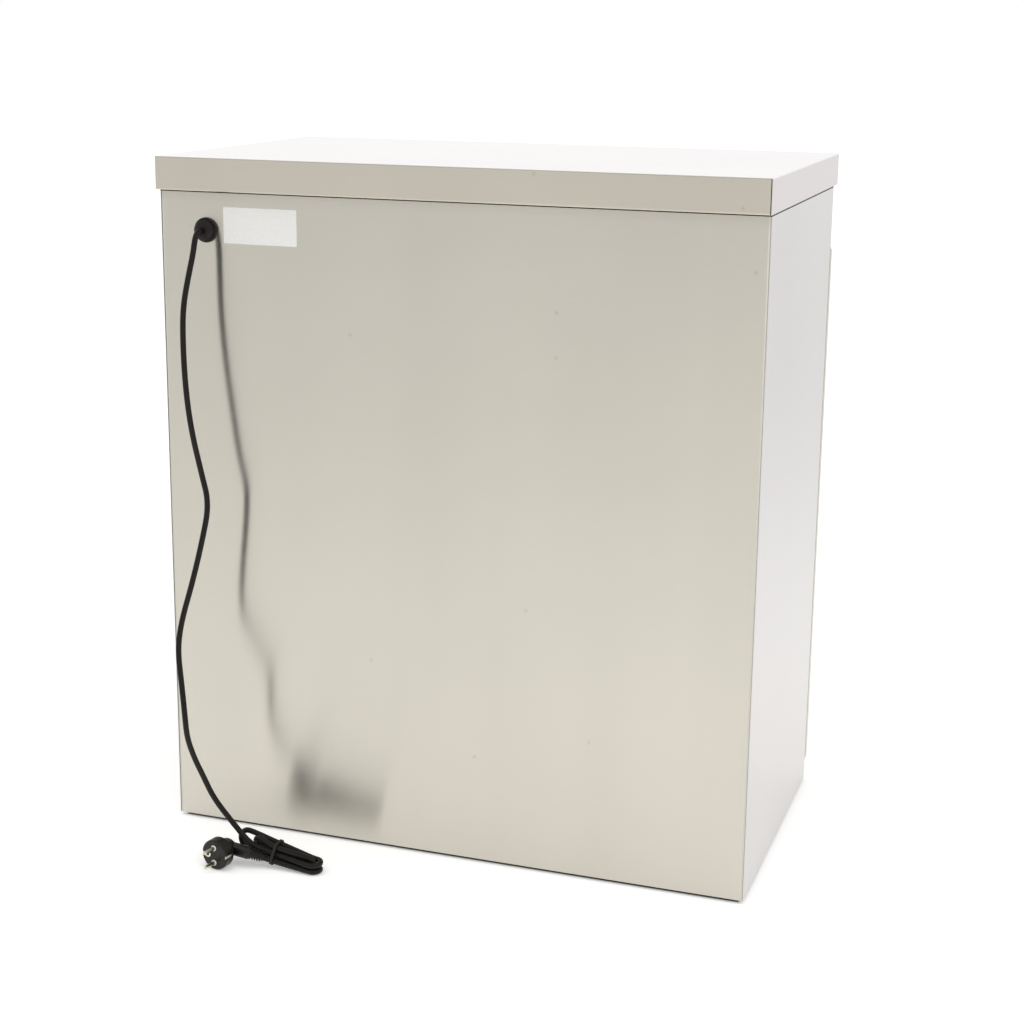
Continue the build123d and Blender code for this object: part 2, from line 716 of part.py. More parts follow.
def make_switch_body():
    """A snap-in rocker switch with a framed well for its key."""
    wide, tall = SWITCH_HALF_WIDTH, SWITCH_HALF_HEIGHT
    front = DOOR_FRONT - SWITCH_BEZEL
    housing = block(
        (SWITCH_X - wide, DOOR_FRONT, CONTROL_Z - tall),
        (SWITCH_X + wide, DOOR_FRONT + SWITCH_DEPTH, CONTROL_Z + tall),
    )
    rim = block(
        (SWITCH_X - wide - SWITCH_BEZEL, front, CONTROL_Z - tall - SWITCH_BEZEL),
        (SWITCH_X + wide + SWITCH_BEZEL, DOOR_FRONT, CONTROL_Z + tall + SWITCH_BEZEL),
    )
    rim = chamfer(rim.faces().sort_by(Axis.Y)[0].edges(), 1)
    well = block(
        (SWITCH_X - wide + SWITCH_WALL, front - 1, CONTROL_Z - tall + SWITCH_WALL),
        (SWITCH_X + wide - SWITCH_WALL, front + 14, CONTROL_Z + tall - SWITCH_WALL),
    )
    seat = wide - SWITCH_WALL / 3
    trunnion = rod(
        (SWITCH_X - seat, ROCKER_Y, CONTROL_Z), (SWITCH_X + seat, ROCKER_Y, CONTROL_Z),
        TRUNNION_RADIUS + PIN_FIT,
    )
    return housing + rim - well - trunnion


def make_rocker_key():
    """The rocker, hollowed across its face, on two trunnions, with its lower half pressed in."""
    half = SWITCH_HALF_WIDTH - SWITCH_WALL - ROCKER_CLEAR
    reach = SWITCH_HALF_HEIGHT - SWITCH_WALL - 1.5
    profile = [
        (-6.5, reach), (-5, 0), (-6.5, -reach), (-3, -reach), (4, -4), (4, 4), (-3, reach),
    ]
    section = make_face(Polyline(*profile, close=True))
    key = extrude(Plane.YZ.offset(-half) * section, amount=2 * half)
    seat = SWITCH_HALF_WIDTH - SWITCH_WALL / 3 - ROCKER_CLEAR
    key += rod((-seat, 0, 0), (seat, 0, 0), TRUNNION_RADIUS)
    return Pos(SWITCH_X, ROCKER_Y, CONTROL_Z) * Rot(ROCKER_TILT, 0, 0) * key


def make_pilot_lamp():
    """A domed lens in a round bezel, with its body behind the fascia."""
    profile = [
        (0, -20), (LAMP_RADIUS, -20), (LAMP_RADIUS, 0), (LAMP_RADIUS + 2.5, 0),
        (LAMP_RADIUS + 2, 1.5), (LAMP_RADIUS, 2), (LAMP_RADIUS - 1, 4), (LAMP_RADIUS - 3, 5), (0, 5),
    ]
    return turned(profile, facing_front(LAMP_X, DOOR_FRONT, CONTROL_Z))


def make_thermostat_bulb():
    """A capillary from the thermostat down through the ceiling, with its sensing bulb."""
    start = FASCIA_BACK + THERMOSTAT_DEPTH
    bulb_front = CAPILLARY_Y + 2 * CAPILLARY_BEND
    points = [
        (KNOB_X, start, CONTROL_Z), (KNOB_X, CAPILLARY_Y, CONTROL_Z),
        (KNOB_X, CAPILLARY_Y, BULB_Z), (KNOB_X, bulb_front, BULB_Z),
    ]
    capillary = swept_tube(points, CAPILLARY_RADIUS, CAPILLARY_BEND)
    return capillary + rod(
        (KNOB_X, bulb_front, BULB_Z), (KNOB_X, bulb_front + BULB_LENGTH, BULB_Z), BULB_RADIUS
    )


def make_bulb_clips():
    """Two saddles that hold the bulb under the ceiling."""
    clips = None
    inner = BULB_RADIUS + ELEMENT_FIT
    first = CAPILLARY_Y + 2 * CAPILLARY_BEND
    for share in (0.25, 0.75):
        y = first + share * BULB_LENGTH
        ring = rod((KNOB_X, y - 4, BULB_Z), (KNOB_X, y + 4, BULB_Z), inner + BULB_CLIP_WALL)
        neck = block(
            (KNOB_X - inner, y - 4, BULB_Z), (KNOB_X + inner, y + 4, CHAMBER_TOP)
        )
        clip = ring + neck - rod((KNOB_X, y - 5, BULB_Z), (KNOB_X, y + 5, BULB_Z), inner)
        clips = clip if clips is None else clips + clip
    return clips


def make_safety_cutout():
    """A bimetal disc switch seated on the chamber ceiling."""
    r = CUTOUT_RADIUS
    profile = [(0, 0), (r + 4, 0), (r + 4, 1.2), (r, 1.2), (r, 10), (r - 2, 12), (0, 12)]
    can = turned(profile, Plane(origin=(CUTOUT_X, CUTOUT_Y, CEILING_TOP)))
    tabs = Sketch() + GridLocations(10, 1, 2, 1) * Rectangle(0.8, 6)
    return can + extrude(Pos(CUTOUT_X, CUTOUT_Y, CEILING_TOP + 12) * tabs, amount=8)


# Supply

def make_cable_gland():
    """A round strain relief: threaded stem inside, flange and domed cap outside."""
    profile = [
        (0, -GLAND_INNER), (GLAND_THREAD, -GLAND_INNER), (GLAND_THREAD, 0), (GLAND_FLANGE, 0),
        (GLAND_FLANGE, GLAND_RIM), (GLAND_FLANGE - GLAND_BEVEL, GLAND_RIM + GLAND_BEVEL),
        (GLAND_CAP, GLAND_RIM + GLAND_BEVEL), (GLAND_CAP, GLAND_CAP_RISE),
        (GLAND_CAP - 2 * GLAND_BEVEL, GLAND_REACH - GLAND_BEVEL), (GLAND_MOUTH, GLAND_REACH),
        (0, GLAND_REACH),
    ]
    return turned(profile, facing_back(GLAND_X, BACK_Y, GLAND_Z))


def make_gland_nut():
    """The hexagon nut that clamps the gland from inside the back panel."""
    plane = facing_back(GLAND_X, BACK_Y - SHEET - NUT_HEIGHT, GLAND_Z)
    ring = RegularPolygon(NUT_RADIUS, 6) - Circle(GLAND_THREAD + PANEL_FIT)
    return extrude(plane * ring, amount=NUT_HEIGHT)


def make_terminal_block():
    """A ribbed terminal strip on the side panel's inner face."""
    low = (SIDE_INNER - TERMINAL_DEPTH, TERMINAL_Y - TERMINAL_LENGTH / 2, TERMINAL_Z - TERMINAL_HEIGHT / 2)
    high = (SIDE_INNER, TERMINAL_Y + TERMINAL_LENGTH / 2, TERMINAL_Z + TERMINAL_HEIGHT / 2)
    strip = block(low, high)
    for share in (0.25, 0.5, 0.75):
        y = low[1] + share * TERMINAL_LENGTH
        strip -= block((low[0] - 1, y - 1, low[2] - 1), (low[0] + 5, y + 1, high[2] + 1))
    return strip


def make_supply_lead():
    """The cord's inner end, from the gland to the terminal block."""
    start, end = BACK_Y - GLAND_INNER, TERMINAL_Y + TERMINAL_LENGTH / 2
    x = SIDE_INNER - TERMINAL_DEPTH / 2
    points = [
        (GLAND_X, start, GLAND_Z), (GLAND_X, start - 28, GLAND_Z),
        (x, end + 28, TERMINAL_Z), (x, end, TERMINAL_Z),
    ]
    return swept_tube(points, CORD_RADIUS, 2 * WIRE_BEND)


def make_wire_loom():
    """Four leads: to the thermostat, to the switch and down to the element's two studs."""
    front = TERMINAL_Y - TERMINAL_LENGTH / 2
    below = TERMINAL_Z - TERMINAL_HEIGHT / 2
    x = SIDE_INNER - TERMINAL_DEPTH / 2
    rear = FASCIA_BACK + THERMOSTAT_DEPTH
    switch_rear = DOOR_FRONT + SWITCH_DEPTH
    stud = LINER_X + ELEMENT_TAIL + STUD_LENGTH / 2
    near, far = ELEMENT_ROWS[0], ELEMENT_ROWS[-1]
    reach = STUD_RADIUS + WIRE_RADIUS / 4
    routes = [
        [
            (x - 4, front, TERMINAL_Z + 7), (x - 4, rear + 60, TERMINAL_Z + 7),
            (KNOB_X + 10, rear + 30, TERMINAL_Z + 7), (KNOB_X + 10, rear, TERMINAL_Z + 7),
        ],
        [
            (x, front, TERMINAL_Z - 5), (x, switch_rear + 90, TERMINAL_Z - 5),
            (SWITCH_X, switch_rear + 45, TERMINAL_Z - 5), (SWITCH_X, switch_rear, TERMINAL_Z - 5),
        ],
        [(x, TERMINAL_Y, below), (x, TERMINAL_Y, ELEMENT_Z), (x, far - reach, ELEMENT_Z)],
        [
            (stud + 3, TERMINAL_Y - 10, below), (stud + 3, TERMINAL_Y - 10, CHASE_HIGH - 20),
            (stud, near + 40, ELEMENT_Z), (stud, near + reach, ELEMENT_Z),
        ],
    ]
    wires = None
    for route in routes:
        wire = swept_tube(route, WIRE_RADIUS, WIRE_BEND)
        wires = wire if wires is None else wires + wire
    return wires


# Feet

def make_glide_feet():
    """Four low nylon glides, each with a stem through the base."""
    rise = FLOOR_GAP + SHEET + FOOT_STEM_RISE
    profile = [
        (0, 0), (FOOT_RADIUS - 2, 0), (FOOT_RADIUS, 2), (FOOT_RADIUS, FLOOR_GAP),
        (FOOT_STEM, FLOOR_GAP), (FOOT_STEM, rise), (0, rise),
    ]
    feet = None
    for x, y in FOOT_PLACES:
        foot = turned(profile, Plane(origin=(x, y, 0)))
        feet = foot if feet is None else feet + foot
    return feet


def make_foot_nuts():
    """The nuts that hold the glides from inside the base."""
    ring = RegularPolygon(FOOT_NUT_RADIUS, 6) - Circle(FOOT_STEM + PANEL_FIT)
    level = FLOOR_GAP + SHEET
    rings = [Pos(x, y, level) * ring for x, y in FOOT_PLACES]
    return extrude(Sketch() + rings, amount=FOOT_NUT_HEIGHT)


# Hinges and doors

def make_hinge_brackets():
    """Flat plates with round noses, set through the jambs above and below each door."""
    brackets = None
    for z in (LOWER_BRACKET, UPPER_BRACKET):
        tail = block(
            (HINGE_X - BRACKET_HALF, HINGE_Y, z),
            (HINGE_X + BRACKET_HALF, FRAME_Y + BRACKET_TAIL, z + BRACKET_THICK),
        )
        nose = Pos(HINGE_X, HINGE_Y, z + BRACKET_THICK / 2) * Cylinder(BRACKET_HALF, BRACKET_THICK)
        hole = Pos(HINGE_X, HINGE_Y, z) * Cylinder(PIN_RADIUS + PIN_FIT, 4 * BRACKET_THICK)
        plate = tail + nose - hole
        brackets = plate if brackets is None else brackets + plate
    return brackets + left_of(brackets)


def make_hinge_pins():
    """Four pins held in the brackets and reaching into the doors' bushes."""
    upper = rod(
        (HINGE_X, HINGE_Y, DOOR_TOP - PIN_ENGAGE),
        (HINGE_X, HINGE_Y, UPPER_BRACKET + BRACKET_THICK), PIN_RADIUS,
    )
    lower = rod(
        (HINGE_X, HINGE_Y, LOWER_BRACKET), (HINGE_X, HINGE_Y, DOOR_BOTTOM + PIN_ENGAGE), PIN_RADIUS
    )
    pins = upper + lower
    return pins + left_of(pins)


def bush_places():
    """The two planes, normal out of the door, where its bushes sit."""
    return (
        Plane(origin=(HINGE_X, HINGE_Y, DOOR_TOP), z_dir=(0, 0, 1)),
        Plane(origin=(HINGE_X, HINGE_Y, DOOR_BOTTOM), z_dir=(0, 0, -1)),
    )


def make_door_skin():
    """A door's outer pan, with holes for its bushes and handle screws."""
    pan = block((DOOR_SPLIT / 2, DOOR_FRONT, DOOR_BOTTOM), (SIDE_X, DOOR_REAR, DOOR_TOP))
    pan = fillet(pan.faces().sort_by(Axis.Y)[0].edges(), BEND)
    pan = offset(pan, amount=-SHEET, openings=pan.faces().sort_by(Axis.Y)[-1])
    for place in bush_places():
        pan -= place * Cylinder(BUSH_RADIUS + PANEL_FIT, 6 * SHEET)
    for z in (HANDLE_Z - HANDLE_SPAN / 2, HANDLE_Z + HANDLE_SPAN / 2):
        pan -= facing_front(HANDLE_X, DOOR_FRONT, z) * Cylinder(SCREW_RADIUS + PANEL_FIT, 6 * SHEET)
    return pan


def make_door_inner():
    """A door's inner pan, let into the outer one."""
    edge = SHEET + SEAM
    pan = block(
        (DOOR_SPLIT / 2 + edge, HINGE_Y + BUSH_RADIUS + INNER_CLEAR, DOOR_BOTTOM + edge),
        (SIDE_X - edge, DOOR_REAR, DOOR_TOP - edge),
    )
    return offset(pan, amount=-SHEET, openings=pan.faces().sort_by(Axis.Y)[0])


def make_door_bushes():
    """Flanged nylon bushes in the door's top and bottom edges, bored for the hinge pins."""
    bore = PIN_RADIUS + PIN_FIT
    profile = [
        (bore, -BUSH_LENGTH), (BUSH_RADIUS, -BUSH_LENGTH), (BUSH_RADIUS, 0),
        (BUSH_FLANGE_RADIUS, 0), (BUSH_FLANGE_RADIUS, BUSH_FLANGE), (bore, BUSH_FLANGE),
    ]
    upper, lower = bush_places()
    return turned(profile, upper) + turned(profile, lower)


def make_door_gasket():
    """A seal on three sides of a door's inner face, where the frame faces it."""
    outer_x, outer_low, outer_high = SIDE_X - GASKET_INSET, DOOR_BOTTOM + 5, DOOR_TOP - 5
    near = DOOR_SPLIT / 2 + 4
    points = [
        (near, outer_low), (outer_x, outer_low), (outer_x, outer_high), (near, outer_high),
        (near, outer_high - GASKET_WIDTH), (outer_x - GASKET_WIDTH, outer_high - GASKET_WIDTH),
        (outer_x - GASKET_WIDTH, outer_low + GASKET_WIDTH), (near, outer_low + GASKET_WIDTH),
    ]
    section = make_face(Polyline(*points, close=True))
    thick = DOOR_GAP - GASKET_CLEAR
    return extrude(Plane.XZ.offset(-DOOR_REAR - thick) * section, amount=thick)


def make_door_handle():
    """A bent bar handle, tapped at both ends for its screws."""
    low, high = HANDLE_Z - HANDLE_SPAN / 2, HANDLE_Z + HANDLE_SPAN / 2
    points = [
        (HANDLE_X, DOOR_FRONT, low), (HANDLE_X, HANDLE_Y, low),
        (HANDLE_X, HANDLE_Y, high), (HANDLE_X, DOOR_FRONT, high),
    ]
    handle = swept_tube(points, HANDLE_BAR, HANDLE_BEND)
    for z in (low, high):
        handle -= rod(
            (HANDLE_X, DOOR_FRONT + 1, z), (HANDLE_X, DOOR_FRONT - SCREW_DEPTH - 1, z),
            SCREW_RADIUS + PIN_FIT,
        )
    return handle


def make_handle_screws():
    """Pan-head screws from inside the outer pan into the handle's ends."""
    profile = [
        (0, -2.4), (3.4, -2.4), (4.4, -1.2), (4.4, 0), (SCREW_RADIUS, 0),
        (SCREW_RADIUS, SHEET + SCREW_DEPTH), (0, SHEET + SCREW_DEPTH),
    ]
    low, high = HANDLE_Z - HANDLE_SPAN / 2, HANDLE_Z + HANDLE_SPAN / 2
    lower = turned(profile, facing_front(HANDLE_X, FASCIA_BACK, low))
    return lower + turned(profile, facing_front(HANDLE_X, FASCIA_BACK, high))


def make_door_strike():
    """The steel plate that the catch pulls on."""
    half = CATCH_WIDTH / 2 + 2
    low = HEADER_BOTTOM - CATCH_HEIGHT
    plate = block(
        (CATCH_X - half, DOOR_REAR, low), (CATCH_X + half, DOOR_REAR + STRIKE_THICK, low + CATCH_HEIGHT - 1)
    )
    return fillet(plate.edges().filter_by(Axis.Y), 3)


def make_magnet_catches():
    """Two magnets under the header's shelf, one for each door."""
    half = CATCH_WIDTH / 2
    face = DOOR_REAR + STRIKE_THICK + CATCH_CLEAR
    body = block(
        (CATCH_X - half, face, HEADER_BOTTOM - CATCH_HEIGHT),
        (CATCH_X + half, face + CATCH_DEPTH, HEADER_BOTTOM),
    )
    body = chamfer(body.faces().sort_by(Axis.Y)[0].edges(), 0.8)
    return body + left_of(body)


# Cord, hank and plug

def corner_radii(points):
    """The largest tangent arc at each corner of a route."""
    radii = []
    for before, here, after in zip(points, points[1:], points[2:]):
        first = Vector(*here) - Vector(*before)
        second = Vector(*after) - Vector(*here)
        turn = radians(first.get_angle(second))
        radii.append(0.45 * min(first.length, second.length) / tan(turn / 2))
    return radii


def make_cord_free():
    """The hanging cord, from the gland down to the hank's first strand."""
    end = HANK_FRAME.from_local_coords(Vector(*HANK_START))
    last = HANK_FRAME.from_local_coords(
        Vector(*HANK_START) - Vector(*HANK_AIM).normalized() * HANK_APPROACH
    )
    points = [(GLAND_X + aside, BACK_Y + out, z) for aside, out, z in CORD_ROUTE]
    points += [tuple(last), tuple(end)]
    radii = corner_radii(points)
    cord = swept_tube(points, CORD_RADIUS, radii)
    length = FilletPolyline(*points, radius=radii).length
    print("cord radii", [round(r, 1) for r in radii])
    print("cord length", round(length, 1), "volume", round(cord.volume, 1))
    print("section times length", round(pi * CORD_RADIUS ** 2 * length, 1))
    return cord


def biarc(start, leaving, end, arriving):
    """Two tangent arcs between two points with given directions."""
    gap, both = end - start, leaving + arriving
    curve = both.dot(both) - 4
    lean = gap.dot(both)
    if abs(curve) < 1e-9:
        handle = gap.dot(gap) / (2 * lean)
    else:
        handle = (lean - (lean ** 2 - curve * gap.dot(gap)) ** 0.5) / curve
    inner, outer = start + leaving * handle, end - arriving * handle
    middle = (inner + outer) * 0.5
    return [
        Edge.make_tangent_arc(start, leaving, middle),
        Edge.make_tangent_arc(middle, (outer - inner).normalized(), end),
    ]


def hank_stations():
    """Places and directions along the hank: strands through the tie, joined by folds."""
    straight = 2 * CORD_RADIUS
    aim = Vector(*HANK_AIM).normalized()
    stations = [(Vector(*HANK_START) + aim * straight, aim)]
    for strand, (along, enter, leave) in zip(HANK_STRANDS, HANK_FOLDS):
        outward = Vector(1 if along > 0 else -1, 0, 0)
        fold = Vector(along, *enter)
        stations.append((Vector(0, *strand), (fold - stations[-1][0]).normalized()))
        stations.append((fold, outward))
        stations.append((Vector(along, *leave), -outward))
    aim = Vector(*LEAD_AIM).normalized()
    lead = Vector(*LEAD_END) - aim * straight
    stations.append((Vector(0, *HANK_STRANDS[-1]), (lead - stations[-1][0]).normalized()))
    stations.append((lead, aim))
    return stations


def make_cord_hank():
    """The tied hank: one unbroken tube from the free cord to the plug's lead."""
    stations = hank_stations()
    edges = [Edge.make_line(Vector(*HANK_START), stations[0][0])]
    for (place, aim), (next_place, next_aim) in zip(stations, stations[1:]):
        edges += biarc(place, aim, next_place, next_aim)
    edges.append(Edge.make_line(stations[-1][0], Vector(*LEAD_END)))
    path = Wire(edges)
    tube = sweep(Plane(origin=path @ 0, z_dir=path % 0) * Circle(CORD_RADIUS), path=path)
    steps = int(2 * path.length / CORD_RADIUS)
    places = [path.position_at(k / steps) for k in range(steps + 1)]
    apart = 12
    least = min(
        (a - b).length for i, a in enumerate(places) for b in places[i + apart:]
    )
    print("hank length", round(path.length, 1), "least gap", round(least - 2 * CORD_RADIUS, 2))
    print("hank volume", round(tube.volume, 1), round(pi * CORD_RADIUS ** 2 * path.length, 1))
    return HANK_FRAME * tube


def make_cord_tie():
    """A flat band pulled round the six strands, leaning to lie square to them."""
    middle = sum(up for across, up in HANK_STRANDS) / len(HANK_STRANDS)
    rims = []
    for across, up in HANK_STRANDS:
        rims += (Pos(across, up - middle) * Circle(CORD_RADIUS + TIE_CLEAR)).edges()
    inside = make_hull(rims)
    band = offset(inside, amount=TIE_THICK) - inside
    lean = radians(TIE_TILT)
    plane = Plane(origin=(0, 0, middle), x_dir=(0, 1, 0), z_dir=(cos(lean), 0, -sin(lean)))
    return HANK_FRAME * extrude(plane.offset(-TIE_WIDTH / 2) * band, amount=TIE_WIDTH)


def plug_frames():
    """The strain relief's plane at the lead's end, and the plug's plane at its face."""
    aim = Vector(*LEAD_AIM).normalized()
    end = HANK_FRAME.from_local_coords(Vector(*LEAD_END))
    away = HANK_FRAME.from_local_coords(Vector(*LEAD_END) + aim) - end
    axis = Vector(cos(radians(PLUG_ANGLE)), sin(radians(PLUG_ANGLE)), 0)
    aside = Vector(-axis.Y, axis.X, 0)
    face = end + away * RELIEF_LENGTH - aside * NECK_LENGTH + axis * NECK_SETBACK
    return Plane(origin=end, z_dir=away), Plane(origin=face, x_dir=aside, z_dir=axis)


def contact_holes():
    """Where the two round contacts stand on the plug's face, one above the other."""
    return Locations((0, -CONTACT_SPACING / 2), (0, CONTACT_SPACING / 2))


def make_relief(plane):
    """The plug's ribbed strain relief, widening from the cord to the neck."""
    step = RELIEF_LENGTH / (2 * RELIEF_RIBS + 2)
    slope = (RELIEF_ROOT - RELIEF_END) / RELIEF_LENGTH
    profile = [(0, 0), (RELIEF_END, 0)]
    for k in range(RELIEF_RIBS):
        low, high = (2 * k + 1) * step, (2 * k + 2) * step
        profile += [
            (RELIEF_END + slope * low, low), (RELIEF_END + slope * low - RELIEF_GROOVE, low + step / 8),
            (RELIEF_END + slope * high - RELIEF_GROOVE, high - step / 8), (RELIEF_END + slope * high, high),
        ]
    profile += [(RELIEF_ROOT, RELIEF_LENGTH), (0, RELIEF_LENGTH)]
    return turned(profile, plane)


def make_plug():
    """A moulded earthed plug: round face, domed back, a neck to one side and a ribbed relief."""
    relief_frame, face_frame = plug_frames()
    r, waist, flat = PLUG_RADIUS, PLUG_WAIST, PLUG_FLAT
    bend = waist - PLUG_DEPTH
    back = bend - (waist ** 2 - flat ** 2) ** 0.5
    with BuildSketch(Plane.XZ) as half:
        with BuildLine():
            Polyline((flat, back), (0, back), (0, 0), (r - PLUG_EDGE, 0), (r, -PLUG_EDGE), (r, -PLUG_RIM))
            RadiusArc((r, -PLUG_RIM), (waist, bend), -PLUG_COVE)
            RadiusArc((waist, bend), (flat, back), waist)
        make_face()
    body = revolve(half.sketch, axis=Axis.Z)
    holes = Sketch() + contact_holes() * Circle(CONTACT_RADIUS + PIN_FIT)
    body -= extrude(holes, amount=-CONTACT_SINK)
    body -= extrude(Pos(-EARTH_OFFSET, 0) * Circle(EARTH_BUSH + PIN_FIT), amount=-EARTH_DEPTH)
    for side in (-1, 1):
        body -= Pos(side * r, 0, 0) * Box(2 * NOTCH_DEPTH, NOTCH_WIDTH, 2 * NOTCH_LENGTH)
    body += rod((0, 0, -NECK_SETBACK), (NECK_LENGTH, 0, -NECK_SETBACK), NECK_RADIUS)
    body += Pos(NECK_LENGTH, 0, -NECK_SETBACK) * Rot(0, 90, 0) * Sphere(NECK_RADIUS)
    return face_frame * body + make_relief(relief_frame)


def make_plug_contacts():
    """Two round pins, the earth bush and two earth strips let into the plug's edge."""
    face_frame = plug_frames()[1]
    r, tip = CONTACT_RADIUS, CONTACT_TIP
    profile = [
        (0, -CONTACT_SINK), (r, -CONTACT_SINK), (r, CONTACT_LENGTH - tip),
        (r - tip / 2, CONTACT_LENGTH - tip / 4), (r - tip, CONTACT_LENGTH), (0, CONTACT_LENGTH),
    ]
    pin = turned(profile, Plane.XY)
    low, high = contact_holes().locations
    contacts = low * pin + high * pin
    bush = Pos(-EARTH_OFFSET, 0) * (Circle(EARTH_BUSH) - Circle(CONTACT_RADIUS))
    contacts += extrude(bush, amount=-EARTH_DEPTH)
    strip = Box(STRIP_THICK, NOTCH_WIDTH - 2 * STRIP_EDGE, NOTCH_LENGTH - 2 * STRIP_EDGE)
    for side in (-1, 1):
        contacts += Pos(side * (PLUG_RADIUS - NOTCH_DEPTH + STRIP_THICK / 2), 0, -NOTCH_LENGTH / 2) * strip
    return face_frame * contacts


SHELF = make_shelf()
PIECES = {
    "lid": make_lid(),
    "back_panel": make_back_panel(),
    "base_pan": make_base_pan(),
    "sill_rail": make_sill_rail(),
    "header_rail": make_header_rail(),
    "control_panel": make_control_panel(),
    "liner_back": make_liner_back(),
    "liner_floor": make_liner_floor(),
    "liner_ceiling": make_liner_ceiling(),
    "insulation": make_insulation(),
    "heating_element": make_heating_element(),
    "element_supports": make_element_supports(),
    "element_deck": make_element_deck(),
    "shelf_uprights": make_shelf_uprights(),
    "shelf_clips": make_shelf_clips(),
    "shelf_lower": shelf_place(LOWER_SLOT) * SHELF,
    "shelf_upper": shelf_place(UPPER_SLOT) * SHELF,
    "thermostat_body": make_thermostat_body(),
    "thermostat_spindle": spindle_form(0),
    "thermostat_knob": make_thermostat_knob(),
    "thermostat_bulb": make_thermostat_bulb(),
    "bulb_clips": make_bulb_clips(),
    "safety_cutout": make_safety_cutout(),
    "switch_body": make_switch_body(),
    "rocker_key": make_rocker_key(),
    "pilot_lamp": make_pilot_lamp(),
    "cable_gland": make_cable_gland(),
    "gland_nut": make_gland_nut(),
    "terminal_block": make_terminal_block(),
    "supply_lead": make_supply_lead(),
    "wire_loom": make_wire_loom(),
    "glide_feet": make_glide_feet(),
    "foot_nuts": make_foot_nuts(),
    "hinge_brackets": make_hinge_brackets(),
    "hinge_pins": make_hinge_pins(),
    "magnet_catches": make_magnet_catches(),
    "cord_free": make_cord_free(),
    "cord_hank": make_cord_hank(),
    "cord_tie": make_cord_tie(),
    "plug": make_plug(),
    "plug_contacts": make_plug_contacts(),
}

HANDED = {
    "side_panel": make_side_panel(),
    "liner": make_liner_side(),
    "door_skin": make_door_skin(),
    "door_inner": make_door_inner(),
    "door_bushes": make_door_bushes(),
    "door_gasket": make_door_gasket(),
    "door_handle": make_door_handle(),
    "door_handle_screws": make_handle_screws(),
    "door_strike": make_door_strike(),
}
for name, solid in HANDED.items():
    PIECES[name + "_right"] = solid
    PIECES[name + "_left"] = left_of(solid)

os.makedirs("parts", exist_ok=True)
for name, solid in PIECES.items():
    export_step(solid, f"parts/{name}.step")
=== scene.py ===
from math import copysign, cos, pi, radians, sin, tan

import bpy
from mathutils import Matrix, Vector


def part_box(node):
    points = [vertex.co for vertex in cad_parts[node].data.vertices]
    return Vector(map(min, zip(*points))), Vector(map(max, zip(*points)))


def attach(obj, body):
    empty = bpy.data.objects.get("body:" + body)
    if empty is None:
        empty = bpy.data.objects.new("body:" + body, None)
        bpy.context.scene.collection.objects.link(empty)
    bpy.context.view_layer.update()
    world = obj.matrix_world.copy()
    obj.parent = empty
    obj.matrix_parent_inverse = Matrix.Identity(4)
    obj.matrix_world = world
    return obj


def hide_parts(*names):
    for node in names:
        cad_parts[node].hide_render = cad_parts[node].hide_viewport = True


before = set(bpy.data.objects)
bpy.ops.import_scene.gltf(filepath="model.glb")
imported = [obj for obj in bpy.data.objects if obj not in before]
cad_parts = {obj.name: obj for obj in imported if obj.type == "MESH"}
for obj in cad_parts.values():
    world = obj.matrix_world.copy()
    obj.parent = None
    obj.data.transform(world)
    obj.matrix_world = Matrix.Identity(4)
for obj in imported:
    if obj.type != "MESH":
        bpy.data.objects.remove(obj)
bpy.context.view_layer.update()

bpy.ops.object.select_all(action="DESELECT")


# Casing: lid, back, sides and front panel, folded on a brake from 0.8 mm stainless sheet.
# The brushing runs level along every sheet, so reflections smear upwards. Each face has the
# steel's tint with a painted reflection of the room in it, so the back looks warmer and darker
# than the sides, and the lid's top and ends look lighter. Painted shade darkens the back just
# under the lid's edge and makes a dark line there on the back, the sides and the front panel,
# and a painted highlight lightens the back's two folded edges.

class Wire:
    """One output of a material's nodes. Sums, products and tests of wires add Math nodes."""

    def __init__(self, finish, socket):
        self.finish = finish
        self.socket = socket

    def maths(self, operation, *values):
        inputs = dict(enumerate(values))
        return self.finish.node("ShaderNodeMath", {"operation": operation}, inputs)

    def __add__(self, other):
        return self.maths("ADD", self, other)

    def __sub__(self, other):
        return self.maths("SUBTRACT", self, other)

    def __rsub__(self, other):
        return self.maths("SUBTRACT", other, self)

    def __mul__(self, other):
        return self.maths("MULTIPLY", self, other)

    def __lt__(self, other):
        return self.maths("LESS_THAN", self, other)

    def __gt__(self, other):
        return self.maths("GREATER_THAN", self, other)

    def __abs__(self):
        return self.maths("ABSOLUTE", self)

    def at_least(self, other):
        return self.maths("MAXIMUM", self, other)

    def at_most(self, other):
        return self.maths("MINIMUM", self, other)

    __radd__ = __add__
    __rmul__ = __mul__


